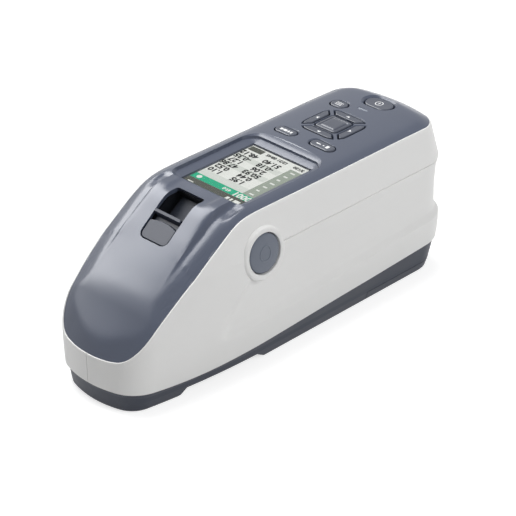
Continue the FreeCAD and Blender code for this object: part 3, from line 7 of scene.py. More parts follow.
from __future__ import annotations

import logging
import math
from collections.abc import Callable, Sequence
from dataclasses import dataclass
from enum import Enum

import bpy
from mathutils import Matrix, Vector
from mathutils.kdtree import KDTree

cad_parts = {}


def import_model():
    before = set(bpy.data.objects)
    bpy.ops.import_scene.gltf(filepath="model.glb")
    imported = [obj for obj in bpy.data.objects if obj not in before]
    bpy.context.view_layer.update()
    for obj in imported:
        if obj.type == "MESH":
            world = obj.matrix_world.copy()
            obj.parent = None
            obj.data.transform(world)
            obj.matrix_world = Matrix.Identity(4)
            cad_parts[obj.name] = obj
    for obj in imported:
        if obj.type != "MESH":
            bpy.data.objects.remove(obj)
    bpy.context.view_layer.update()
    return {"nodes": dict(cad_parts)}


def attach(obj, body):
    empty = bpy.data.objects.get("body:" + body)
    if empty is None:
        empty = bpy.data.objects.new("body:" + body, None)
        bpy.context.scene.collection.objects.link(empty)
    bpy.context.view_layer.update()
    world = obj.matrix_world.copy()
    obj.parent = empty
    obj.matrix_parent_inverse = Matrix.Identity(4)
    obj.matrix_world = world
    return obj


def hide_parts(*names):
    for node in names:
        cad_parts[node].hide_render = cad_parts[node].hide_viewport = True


LOG = logging.getLogger("spectrophotometer")
MM = 0.001
FAR = 1000.0

Point = tuple[float, float, float]
Flat = tuple[float, float]


class Side(Enum):
    """Side of the body, as the sign of its X."""

    RIGHT = 1
    LEFT = -1


class Arrow(Enum):
    """Direction of a key of the four-way pad, with its step in X and Y."""

    UP = (0, 1)
    DOWN = (0, -1)
    LEFT = (-1, 0)
    RIGHT = (1, 0)


# Small sums


def mix(low: float, high: float, share: float) -> float:
    """Value between two others at a share of the way."""
    return low + (high - low) * share


def smooth_step(low: float, high: float, value: float) -> float:
    """0 at low, 1 at high, and an even curve between."""
    share = min(1.0, max(0.0, (value - low) / (high - low)))
    return share * share * (3.0 - 2.0 * share)


def smooth_low(first: float, second: float, soft: float) -> float:
    """The lower of two heights, with the crossing rounded."""
    return (first + second - math.hypot(first - second, soft)) / 2.0


def smooth_high(first: float, second: float, soft: float) -> float:
    """The higher of two heights, with the crossing rounded."""
    return (first + second + math.hypot(first - second, soft)) / 2.0


def on_table(table: Sequence[Flat], value: float) -> float:
    """Value on a table of pairs, straight between them and level past its ends."""
    if value <= table[0][0]:
        return table[0][1]
    for low, high in zip(table, table[1:]):
        if value <= high[0]:
            return mix(low[1], high[1], (value - low[0]) / (high[0] - low[0]))
    return table[-1][1]


def on_curve(table: Sequence[Flat], value: float, reach: float = 6.0) -> float:
    """Value on a table, evened out over a reach to each side."""
    offsets = (-1.0, -0.67, -0.33, 0.0, 0.33, 0.67, 1.0)
    return sum(on_table(table, value + reach * offset) for offset in offsets) / len(offsets)


def linear(code: str) -> tuple[float, float, float, float]:
    """Linear colour of a screen colour code such as 6b717f."""
    parts = [int(code[i:i + 2], 16) / 255.0 for i in (0, 2, 4)]
    values = [p / 12.92 if p <= 0.04045 else ((p + 0.055) / 1.055) ** 2.4 for p in parts]
    return values[0], values[1], values[2], 1.0


def rounded_corner(y: float, corner: Flat, low_angle: float, high_angle: float, radius: float) -> float:
    """Height on two lines that meet at a corner with a round of some radius.

    Args:
        y: Place along the body.
        corner: Y and Z of the sharp corner.
        low_angle: Rise in degrees of the line before the corner.
        high_angle: Rise in degrees of the line after it.
        radius: Radius of the round.

    Returns:
        Height at y.
    """
    low, high = math.radians(low_angle), math.radians(high_angle)
    reach = radius * math.tan((low - high) / 2.0)
    end_y = corner[0] + reach * math.cos(high)
    start_y = corner[0] - reach * math.cos(low)
    if y >= end_y:
        return corner[1] + (y - corner[0]) * math.tan(high)
    if y <= start_y:
        return corner[1] + (y - corner[0]) * math.tan(low)
    middle_y = end_y + radius * math.sin(high)
    middle_z = corner[1] + reach * math.sin(high) - radius * math.cos(high)
    return middle_z + math.sqrt(radius ** 2 - (y - middle_y) ** 2)


def rounded_rectangle(centre: Flat, half: Flat, radius: float, steps: int = 8) -> list[Flat]:
    """Points round a rectangle with round corners, counter-clockwise."""
    points = []
    radius = min(radius, half[0] - 0.01, half[1] - 0.01)
    for quarter, (sx, sy) in enumerate(((1, 1), (-1, 1), (-1, -1), (1, -1))):
        cx = centre[0] + sx * (half[0] - radius)
        cy = centre[1] + sy * (half[1] - radius)
        for step in range(steps + 1):
            turn = math.radians(90.0 * (quarter + step / steps))
            points.append((cx + radius * math.cos(turn), cy + radius * math.sin(turn)))
    return points


def circle(radius: float, count: int) -> list[Flat]:
    """Points round a circle about the origin."""
    return [(radius * math.cos(2 * math.pi * i / count), radius * math.sin(2 * math.pi * i / count))
            for i in range(count)]


# The bench: every mesh is made and finished through these


def deselect() -> None:
    """Leaves nothing selected."""
    if bpy.context.object and bpy.context.object.mode != "OBJECT":
        bpy.ops.object.mode_set(mode="OBJECT")
    bpy.ops.object.select_all(action="DESELECT")


def choose(piece: bpy.types.Object) -> None:
    """Selects one piece alone and makes it the active one."""
    deselect()
    piece.select_set(True)
    bpy.context.view_layer.objects.active = piece


def edit(piece: bpy.types.Object, *steps: Callable[[], object]) -> None:
    """Runs edit-mode steps on a whole piece.

    Args:
        piece: The mesh object.
        steps: Calls to make with all of the mesh selected.
    """
    choose(piece)
    bpy.ops.object.mode_set(mode="EDIT")
    for step in steps:
        bpy.ops.mesh.select_all(action="SELECT")
        step()
    bpy.ops.object.mode_set(mode="OBJECT")


def outward() -> None:
    """Turns the selected faces outwards."""
    bpy.ops.mesh.normals_make_consistent(inside=False)


def close_ends() -> None:
    """Fills the open loops of the mesh in edit mode."""
    bpy.ops.mesh.select_all(action="DESELECT")
    bpy.ops.mesh.select_non_manifold()
    bpy.ops.mesh.fill_holes(sides=0)


def sheet(name: str, columns: int, rows: int, place: Callable[[int, int], Point]) -> bpy.types.Object:
    """Lays a grid of faces through placed points.

    Args:
        name: Name of the piece.
        columns: Faces across.
        rows: Faces along.
        place: Gives the point in millimetres at a column and row number.

    Returns:
        The new object.
    """
    deselect()
    bpy.ops.mesh.primitive_grid_add(x_subdivisions=columns, y_subdivisions=rows, size=1.0)
    piece = bpy.context.object
    piece.name = name
    piece.data.name = name
    for vertex in piece.data.vertices:
        column = round((vertex.co.x + 0.5) * columns)
        row = round((vertex.co.y + 0.5) * rows)
        vertex.co = Vector(place(column, row)) * MM
    piece.data.update()
    return piece


def loft(name: str, loops: Sequence[Sequence[Point]], capped: bool = True) -> bpy.types.Object:
    """Skins closed loops of points, one after another, and closes both ends.

    Args:
        name: Name of the piece.
        loops: Loops with the same number of points.
        capped: Closes the first and last loop, else joins the last to the first.

    Returns:
        The new closed object.
    """
    count = len(loops[0])
    rows = len(loops) - 1 if capped else len(loops)
    piece = sheet(name, count, rows, lambda i, j: loops[j % len(loops)][i % count])
    edit(piece, lambda: bpy.ops.mesh.remove_doubles(threshold=1e-7))
    if capped:
        edit(piece, close_ends)
    edit(piece, outward)
    return piece


def level_loops(outline: Callable[[float], Sequence[Flat]], levels: Sequence[Flat]) -> list[list[Point]]:
    """Loops of an outline at (margin, height) levels."""
    return [[(x, y, z) for x, y in outline(margin)] for margin, z in levels]


def apply_modifier(piece: bpy.types.Object, kind: str, **values: object) -> None:
    """Adds one modifier with its values and applies it."""
    choose(piece)
    modifier = piece.modifiers.new(kind.title(), kind)
    for key, value in values.items():
        setattr(modifier, key, value)
    bpy.ops.object.modifier_apply(modifier=modifier.name)


def combine(piece: bpy.types.Object, tool: bpy.types.Object, operation: str = "DIFFERENCE") -> None:
    """Cuts or joins a piece with a tool piece, which is used up."""
    apply_modifier(piece, "BOOLEAN", operation=operation, object=tool, solver="MANIFOLD")
    bpy.data.objects.remove(tool)


def smooth(piece: bpy.types.Object, degrees: float = 32.0) -> None:
    """Shades a piece smooth, with edges sharper than an angle kept."""
    choose(piece)
    bpy.ops.object.shade_smooth_by_angle(angle=math.radians(degrees))


def joined(name: str, pieces: Sequence[bpy.types.Object]) -> bpy.types.Object:
    """One object from several."""
    deselect()
    for piece in pieces:
        piece.select_set(True)
    bpy.context.view_layer.objects.active = pieces[0]
    if len(pieces) > 1:
        bpy.ops.object.join()
    pieces[0].name = name
    pieces[0].data.name = name
    return pieces[0]


def mirrored(piece: bpy.types.Object, name: str) -> bpy.types.Object:
    """Copy of a piece on the other side of the middle plane, with its own mesh."""
    copy = piece.copy()
    copy.data = piece.data.copy()
    copy.name = name
    copy.data.name = name
    bpy.context.collection.objects.link(copy)
    copy.data.transform(Matrix.Diagonal((-1.0, 1.0, 1.0, 1.0)))
    edit(copy, lambda: bpy.ops.mesh.flip_normals())
    return copy


def moved(piece: bpy.types.Object, place: Matrix) -> bpy.types.Object:
    """Moves a piece's mesh by a matrix in millimetres."""
    matrix = place.copy()
    matrix.translation = matrix.translation * MM
    piece.data.transform(matrix)
    piece.data.update()
    return piece


def hand_over(piece: bpy.types.Object, finish: Finish, body: str, slot: str, *nodes: str) -> bpy.types.Object:
    """Dresses a finished piece and ties it to its body.

    Args:
        piece: The piece.
        finish: Its finish.
        body: The body that it moves with.
        slot: The record's material slot; not used.
        nodes: The solids that it stands for.

    Returns:
        The piece.
    """
    piece.data.materials.clear()
    piece.data.materials.append(finish.material())
    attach(piece, body)
    if nodes:
        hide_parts(*nodes)
    LOG.info("%s rides on %s, %d faces", piece.name, body, len(piece.data.polygons))
    return piece


# Finishes


@dataclass(frozen=True)
class Finish:
    """A surface finish with fine grain, broad unevenness and its own gloss."""

    name: str
    colour: str
    roughness: float = 0.45
    metallic: float = 0.0
    grain: float = 1500.0
    grain_height: float = 0.02
    tint_spread: float = 0.04
    gloss_spread: float = 0.06
    coat: float = 0.0
    specular: float = 0.5
    glow: float = 0.0
    alpha: float = 1.0
    stretch: Point = (1.0, 1.0, 1.0)

    def material(self) -> bpy.types.Material:
        """The finish as a material, made once."""
        found = bpy.data.materials.get(self.label)
        return found if found else self.make()

    @property
    def label(self) -> str:
        """Name of the material, apart from the names of the record's slots."""
        return self.name + "_finish"

    def make(self) -> bpy.types.Material:
        """Builds the nodes of the finish."""
        material = bpy.data.materials.new(self.label)
        material.use_nodes = True
        tree = material.node_tree
        shader = tree.nodes["Principled BSDF"]
        coordinates = tree.nodes.new("ShaderNodeTexCoord")
        mapping = tree.nodes.new("ShaderNodeMapping")
        mapping.inputs["Scale"].default_value = self.stretch
        tree.links.new(coordinates.outputs["Object"], mapping.inputs["Vector"])
        fine = self.noise(tree, mapping, self.grain, 3.0)
        broad = self.noise(tree, mapping, 45.0, 2.0)
        self.colour_nodes(tree, shader, broad, fine)
        self.range_to(tree, broad, shader.inputs["Roughness"], self.roughness, self.gloss_spread)
        bump = tree.nodes.new("ShaderNodeBump")
        bump.inputs["Strength"].default_value = 0.6
        bump.inputs["Distance"].default_value = self.grain_height * MM
        tree.links.new(fine.outputs["Fac"], bump.inputs["Height"])
        tree.links.new(bump.outputs["Normal"], shader.inputs["Normal"])
        shader.inputs["Metallic"].default_value = self.metallic
        shader.inputs["Specular IOR Level"].default_value = self.specular
        shader.inputs["Coat Weight"].default_value = self.coat
        shader.inputs["Coat Roughness"].default_value = 0.12
        shader.inputs["Alpha"].default_value = self.alpha
        shader.inputs["Emission Strength"].default_value = self.glow
        return material

    @staticmethod
    def noise(tree: bpy.types.NodeTree, mapping: bpy.types.Node, scale: float, detail: float) -> bpy.types.Node:
        """Noise on the mapped coordinates."""
        node = tree.nodes.new("ShaderNodeTexNoise")
        node.inputs["Scale"].default_value = scale
        node.inputs["Detail"].default_value = detail
        tree.links.new(mapping.outputs["Vector"], node.inputs["Vector"])
        return node

    @staticmethod
    def range_to(tree: bpy.types.NodeTree, source: bpy.types.Node, socket: bpy.types.NodeSocket,
                 middle: float, spread: float) -> None:
        """Leads a noise to a socket as a value about a middle."""
        node = tree.nodes.new("ShaderNodeMapRange")
        node.inputs["To Min"].default_value = max(0.02, middle - spread)
        node.inputs["To Max"].default_value = min(1.0, middle + spread)
        tree.links.new(source.outputs["Fac"], node.inputs["Value"])
        tree.links.new(node.outputs["Result"], socket)

    def colour_nodes(self, tree: bpy.types.NodeTree, shader: bpy.types.Node, broad: bpy.types.Node,
                     fine: bpy.types.Node) -> None:
        """Leads the colour, a little uneven, to the shader."""
        base = linear(self.colour)
        ramp = tree.nodes.new("ShaderNodeValToRGB")
        ramp.color_ramp.elements[0].color = tuple(c * (1.0 - self.tint_spread) for c in base[:3]) + (1.0,)
        ramp.color_ramp.elements[1].color = tuple(min(1.0, c * (1.0 + self.tint_spread)) for c in base[:3]) + (1.0,)
        blend = tree.nodes.new("ShaderNodeMath")
        blend.operation = "MULTIPLY_ADD"
        blend.inputs[1].default_value = 0.35
        tree.links.new(fine.outputs["Fac"], blend.inputs[0])
        scaled = tree.nodes.new("ShaderNodeMath")
        scaled.operation = "MULTIPLY"
        scaled.inputs[1].default_value = 0.65
        tree.links.new(broad.outputs["Fac"], scaled.inputs[0])
        tree.links.new(scaled.outputs["Value"], blend.inputs[2])
        tree.links.new(blend.outputs["Value"], ramp.inputs["Fac"])
        tree.links.new(ramp.outputs["Color"], shader.inputs["Base Color"])
        if self.glow > 0.0:
            tree.links.new(ramp.outputs["Color"], shader.inputs["Emission Color"])


DECK_PAINT = Finish("deck_paint", "4a5162", roughness=0.30, grain=2600.0, grain_height=0.010)
SHELL_PAINT = Finish("pale_paint", "ebebea", roughness=0.42, grain=2200.0, grain_height=0.010, tint_spread=0.012)
BASE_PLASTIC = Finish("base_plastic", "272d3b", roughness=0.50, grain=1600.0, grain_height=0.03)
KEY_PLASTIC = Finish("key_plastic", "434855", roughness=0.32, grain=2400.0, grain_height=0.012)
BUTTON_PLASTIC = Finish("button_plastic", "666d7a", roughness=0.42, grain=2200.0, grain_height=0.02)
SLIDER_PLASTIC = Finish("slider_plastic", "2b303d", roughness=0.42, specular=0.3, grain=2000.0, grain_height=0.015)
TRAY_PLASTIC = Finish("tray_plastic", "101217", roughness=0.5, grain=1500.0, grain_height=0.03)
INNER_PLASTIC = Finish("inner_plastic", "2b2e35", roughness=0.6, grain=1200.0, grain_height=0.04)
MASK_PLASTIC = Finish("mask_plastic", "1c1e22", roughness=0.55, grain=1500.0, grain_height=0.03)
FOOT_RUBBER = Finish("foot_rubber", "22242a", roughness=0.85, grain=1800.0, grain_height=0.05, specular=0.3)
MARK_INK = Finish("mark_ink", "f2f3f4", roughness=0.5, grain=2500.0, grain_height=0.008, tint_spread=0.02)
STATUS_LENS = Finish("status_lens", "8d94a1", roughness=0.25, grain=900.0, grain_height=0.01)
BRIGHT_STEEL = Finish("bright_steel", "b9bcc0", roughness=0.3, metallic=1.0, grain=900.0, grain_height=0.01)
CHASSIS_METAL = Finish("chassis_metal", "a4a7ab", roughness=0.42, metallic=1.0, grain=600.0, grain_height=0.02,
                       stretch=(1.0, 14.0, 1.0))
SPHERE_WHITE = Finish("sphere_white", "f2f1ec", roughness=0.9, grain=1200.0, grain_height=0.03, specular=0.2)
BOARD_GREEN = Finish("board_green", "1d5a3a", roughness=0.4, grain=700.0, grain_height=0.03)
CHIP_BLACK = Finish("chip_black", "17181a", roughness=0.6, grain=1400.0, grain_height=0.02)
CAPACITOR_SLEEVE = Finish("capacitor_sleeve", "20264a", roughness=0.35, grain=900.0, grain_height=0.01)
BATTERY_LABEL = Finish("battery_label", "3a3d42", roughness=0.5, grain=900.0, grain_height=0.02)
RIBBON_FILM = Finish("ribbon_film", "c9c4b2", roughness=0.5, grain=300.0, grain_height=0.04,
                     stretch=(20.0, 1.0, 1.0))
GRATING_MIRROR = Finish("grating_mirror", "9fb0c8", roughness=0.12, metallic=1.0, grain=3000.0,
                        grain_height=0.005, stretch=(6.0, 1.0, 1.0))
SCREEN_PANEL = Finish("screen_panel", "23262c", roughness=0.5, grain=1200.0, grain_height=0.01)
SCREEN_GLASS = Finish("screen_glass", "e8ecec", roughness=0.10, alpha=0.03, grain=300.0, grain_height=0.002,
                      gloss_spread=0.03, specular=0.15)
# Viewer window as an opaque dark grey sheet: painted shade that stands in for the shaded inside of the slot, not a tint
# of the glass.
SHADE_DARK_GLASS = Finish("shade_dark_glass", "2a2e38", roughness=0.55, specular=0.3, grain=300.0, grain_height=0.003)
SCREEN_WHITE = Finish("screen_white", "d2d4cf", roughness=0.9, specular=0.02, glow=0.05, grain=3500.0, grain_height=0.0,
                      tint_spread=0.03)
SCREEN_GREY = Finish("screen_grey", "c2c6c0", roughness=0.9, specular=0.02, glow=0.05, grain=3500.0, grain_height=0.0,
                     tint_spread=0.03)
SCREEN_SAGE = Finish("screen_sage", "8f988c", roughness=0.9, specular=0.02, glow=0.03, grain=3500.0, grain_height=0.0,
                     tint_spread=0.04)
SCREEN_GREEN = Finish("screen_green", "02a078", roughness=0.9, specular=0.02, glow=0.0, grain=3500.0, grain_height=0.0,
                      tint_spread=0.03)
SCREEN_OLIVE = Finish("screen_olive", "484a42", roughness=0.9, specular=0.02, glow=0.0, grain=3500.0, grain_height=0.0)
SCREEN_INK = Finish("screen_ink", "030303", roughness=0.9, specular=0.03, grain=3500.0, grain_height=0.0)

CARRIED: dict[str, Finish] = {
    "base_cover": BASE_PLASTIC, "battery_cover": BASE_PLASTIC, "rubber_feet": FOOT_RUBBER,
    "case_screws": BRIGHT_STEEL, "key_board": BOARD_GREEN, "key_domes": BRIGHT_STEEL,
    "button_switch_right": CHIP_BLACK, "button_switch_left": CHIP_BLACK, "chassis": CHASSIS_METAL,
    "sphere_lower": SPHERE_WHITE, "sphere_upper": SPHERE_WHITE, "viewer_tube": INNER_PLASTIC,
    "flash_lamp_right": CHASSIS_METAL, "flash_lamp_left": CHASSIS_METAL, "receiving_tube": INNER_PLASTIC,
    "receiving_lens": SCREEN_GLASS, "target_mask": MASK_PLASTIC, "viewer_tray": TRAY_PLASTIC,
    # viewer_window gets painted shade: a dark opaque sheet in place of the slot's shaded inside.
    "viewer_window": SHADE_DARK_GLASS, "spectrometer_case": INNER_PLASTIC, "spectrometer_lid": INNER_PLASTIC,
    "diffraction_grating": GRATING_MIRROR, "detector_array": CHIP_BLACK, "battery_pack": BATTERY_LABEL,
    "battery_holder": INNER_PLASTIC, "battery_contacts": BRIGHT_STEEL, "main_board": BOARD_GREEN,
    "board_standoffs": BRIGHT_STEEL, "flash_capacitors": CAPACITOR_SLEEVE, "board_components": CHIP_BLACK,
    "ribbon_connectors": CHIP_BLACK, "ribbon_cable": RIBBON_FILM, "port_panel": BASE_PLASTIC,
    "usb_port": BRIGHT_STEEL, "power_jack": CHIP_BLACK, "lcd_module": SCREEN_PANEL, "lcd_frame": INNER_PLASTIC,
}


# The body's form


@dataclass(frozen=True)
class BodyForm:
    """Sizes of the whole body and the surfaces that follow from them."""

    length: float = 236.0
    half_width: float = 39.2
    nose_arc: float = 60.0
    nose_corner: float = 20.0
    nose_corner_x: float = 12.4
    taper_length: float = 94.7
    rear_arc: float = 105.0
    rear_corner: float = 20.0
    deck: float = 91.4
    crown: float = 280.0
    slope_from_nose: float = 73.8
    slope_angle: float = 35.4
    slope_round: float = 42.0
    tip_from_nose: float = 22.1
    tip_angle: float = 45.8
    tip_round: float = 60.0
    tongue_from_nose: float = 67.0
    tongue_angle: float = 38.5
    tongue_round: float = 20.0
    tongue_half_top: float = 20.3
    tongue_half_low: float = 21.8
    tongue_low_y: float = -92.0
    tongue_end_y: float = -32.2
    tongue_flank: float = 0.45
    tongue_fade: Flat = (-88.0, -66.0)
    shoulder_rise: float = 0.4
    lip: float = 0.9
    edge_drop: float = 4.4
    edge_knee_from_nose: float = 16.0
    edge_tip_angle: float = 51.0
    edge_low: float = 28.6
    edge_soft: float = 3.0
    bevel_in: float = 3.4
    bevel_rise: float = 1.9
    bevel_nose_rise: float = 6.4
    bevel_nose_length: float = 26.0
    seam: float = 0.3
    wall: float = 2.2
    shell_levels: tuple[tuple[float, float, float], ...] = (
        (8.0, 2.5, 1.6), (13.0, 1.7, 1.2), (24.0, 0.4, 0.2), (29.5, 0.0, 0.0), (48.0, 0.25, 0.0),
        (60.0, 0.45, 0.0), (67.0, 0.8, 0.0), (88.5, 6.3, 0.0))

    edge_lift: tuple[Flat, ...] = (
        (-112.0, 0.3), (-105.0, 0.6), (-100.0, 1.0), (-95.0, 1.5), (-90.0, 2.2), (-85.0, 2.7), (-80.0, 2.9),
        (-50.0, 2.9), (-40.0, 2.4), (-30.0, 2.0), (-20.0, 1.7), (0.0, 1.3), (30.0, 1.1), (80.0, 1.0), (112.0, 0.3))
    edge_inset: tuple[Flat, ...] = (
        (-118.0, 0.1), (-105.0, 0.3), (-95.0, 0.6), (-85.0, 1.1), (-79.0, 1.33), (-72.0, 1.2), (-66.0, 0.8),
        (-60.0, 0.24), (-50.0, -0.44), (-30.0, -0.6), (80.0, -0.6), (112.0, -0.1))
    parting: tuple[Flat, ...] = (
        (-104.0, 12.3), (-93.0, 11.6), (-78.0, 11.2), (-63.0, 11.3), (-47.0, 12.0), (-30.0, 12.8),
        (-4.0, 14.1), (23.0, 15.5), (51.0, 16.7), (80.0, 18.2), (118.0, 20.3))
    slope_lift: tuple[Flat, ...] = (
        (-102.0, 0.0), (-96.0, 0.8), (-90.0, 1.5), (-85.0, 2.0), (-80.0, 2.3), (-75.0, 2.3), (-70.0, 2.0),
        (-60.0, 1.4), (-50.0, 0.9), (-40.0, 0.3), (-32.0, 0.0))

    @property
    def nose_y(self) -> float:
        """Y of the nose."""
        return -self.length / 2.0

    @property
    def rear_y(self) -> float:
        """Y of the rear."""
        return self.length / 2.0

    @property
    def taper_y(self) -> float:
        """Y where the sides start to draw in towards the nose."""
        return self.nose_y + self.taper_length

    @property
    def slope_y(self) -> float:
        """Y of the corner between the deck and the slope."""
        return self.nose_y + self.slope_from_nose

    @property
    def tip_y(self) -> float:
        """Y of the corner between the slope and the steeper tip."""
        return self.nose_y + self.tip_from_nose

    def arcs(self, nose_out: float) -> list[tuple[float, float, float, float, float]]:
        """Right half of the outline as arcs (centre x, centre y, radius, start, end), nose first."""
        front_y = self.nose_y + self.nose_arc - nose_out
        corner_y = front_y - math.sqrt((self.nose_arc - self.nose_corner) ** 2 - self.nose_corner_x ** 2)
        across = self.half_width - self.nose_corner_x
        along = self.taper_y - corner_y
        taper = (across ** 2 + along ** 2 - self.nose_corner ** 2) / (2 * (across - self.nose_corner))
        taper_x = self.half_width - taper
        front_turn = math.degrees(math.atan2(corner_y - front_y, self.nose_corner_x))
        taper_turn = math.degrees(math.atan2(corner_y - self.taper_y, self.nose_corner_x - taper_x))
        rear_x = self.half_width - self.rear_corner
        rear_mid = self.rear_y - self.rear_arc
        rear_corner_y = rear_mid + math.sqrt((self.rear_arc - self.rear_corner) ** 2 - rear_x ** 2)
        rear_turn = math.degrees(math.atan2(rear_corner_y - rear_mid, rear_x))
        return [(0.0, front_y, self.nose_arc, -90.0, front_turn),
                (self.nose_corner_x, corner_y, self.nose_corner, front_turn, taper_turn),
                (taper_x, self.taper_y, taper, taper_turn, 0.0),
                (rear_x, rear_corner_y, self.rear_corner, 0.0, rear_turn),
                (0.0, rear_mid, self.rear_arc, rear_turn, 90.0)]

    def outline(self, stretch: float, inset: float | Callable[[float], float], nose_out: float = 0.0) -> Flat:
        """Point on the right half of the outline.

        Args:
            stretch: 0 to 6: whole part names the stretch from nose arc to rear arc, the rest the share of it.
            inset: How far the point lies inside the outline, or a function of Y that gives it.
            nose_out: How much further out the nose reaches.

        Returns:
            X and Y.
        """
        index = min(5, int(stretch))
        share = stretch - index
        arcs = self.arcs(nose_out)
        if index == 3:
            y = mix(self.taper_y, arcs[3][1], share)
            return self.half_width - (inset(y) if callable(inset) else inset), y
        x, y, radius, start, end = arcs[index if index < 3 else index - 1]
        turn = math.radians(mix(start, end, share))
        near = radius - (inset(y + radius * math.sin(turn)) if callable(inset) else inset)
        return x + near * math.cos(turn), y + near * math.sin(turn)

    def lean(self, z: float) -> tuple[float, float]:
        """Inset of the pale side at a height, and how much further out its nose reaches."""
        for low, high in zip(self.shell_levels, self.shell_levels[1:]):
            if z <= high[0]:
                share = (z - low[0]) / (high[0] - low[0])
                return mix(low[1], high[1], share), mix(low[2], high[2], share)
        return self.shell_levels[-1][1], self.shell_levels[-1][2]

    def slope_line(self, y: float) -> float:
        """Height of the slope's straight line, carried on past its ends."""
        return self.deck + (y - self.slope_y) * math.tan(math.radians(self.slope_angle))

    def edge(self, y: float) -> float:
        """Height of the edge between the dark cover and the pale sides."""
        drop = self.edge_drop + 0.5
        knee_y = self.nose_y + self.edge_knee_from_nose
        tip = self.slope_line(knee_y) - drop + (y - knee_y) * math.tan(math.radians(self.edge_tip_angle))
        slope = smooth_low(self.slope_line(y) - drop, tip, self.edge_soft)
        climb = smooth_low(slope, self.deck - self.edge_drop, 2 * self.edge_soft)
        return on_curve(self.edge_lift, y) - smooth_low(-climb, -self.edge_low, self.edge_soft)

    def parting_height(self, y: float) -> float:
        """Height of the edge between the pale sides and the dark base."""
        return on_curve(self.parting, y)

    def cover_inset(self, y: float) -> float:
        """Inset of the dark cover's outline at a place along it."""
        return self.lean(self.edge(y))[0] + self.lip + on_curve(self.edge_inset, y)

    def centre_height(self, y: float) -> float:
        """Height of deck, slope and tip on the middle plane."""
        middle = (self.slope_y + self.tip_y) / 2.0
        if y > middle:
            return rounded_corner(y, (self.slope_y, self.deck), self.slope_angle, 0.0, self.slope_round)
        tip = (self.tip_y, self.slope_line(self.tip_y))
        return rounded_corner(y, tip, self.tip_angle, self.slope_angle, self.tip_round)

    def tongue_height(self, y: float) -> float:
        """Height of the raised tongue's flat top."""
        corner = (self.nose_y + self.tongue_from_nose, self.deck)
        return rounded_corner(y, corner, self.tongue_angle, 0.0, self.tongue_round)

    def surface(self, x: float, y: float) -> float:
        """Height of the whole top surface before its bevel."""
        across = abs(x)
        step = 0.5
        rise = (self.centre_height(y + step) - self.centre_height(y - step)) / (2 * step)
        drop = (self.crown - math.sqrt(self.crown ** 2 - across ** 2)) * math.hypot(1.0, rise)
        shoulder = smooth_step(-44.0, -54.0, y) * smooth_step(-100.0, -84.0, y) * smooth_step(19.0, 27.0, across)
        dip = (1.2 * smooth_step(-50.0, -42.0, y) * smooth_step(-33.5, -38.0, y)
               * smooth_step(20.8, 22.8, across) * smooth_step(29.0, 26.0, across))
        height = self.centre_height(y) + on_curve(self.slope_lift, y) - drop + self.shoulder_rise * shoulder - dip
        if y > self.tongue_end_y or y < self.tongue_low_y:
            return height
        share = (y - self.tongue_low_y) / (self.tongue_end_y - self.tongue_low_y)
        half = mix(self.tongue_half_low, self.tongue_half_top, share)
        top = self.tongue_height(y)
        top -= 0.9 * smooth_step(16.0, 12.0, across) * smooth_step(-52.0, -45.0, y)
        flank = top - max(0.0, across - half) / self.tongue_flank
        raised = smooth_high(height, flank, mix(0.7, 1.6, smooth_step(-58.0, -80.0, y)))
        return mix(height, raised, smooth_step(*self.tongue_fade, y))

    def bevel_slope(self, y: float) -> float:
        """Rise over run of the bevel round the dark cover."""
        share = smooth_step(self.nose_y + self.bevel_nose_length, self.nose_y, y)
        return mix(self.bevel_rise, self.bevel_nose_rise, share) / self.bevel_in


# Sub-assemblies


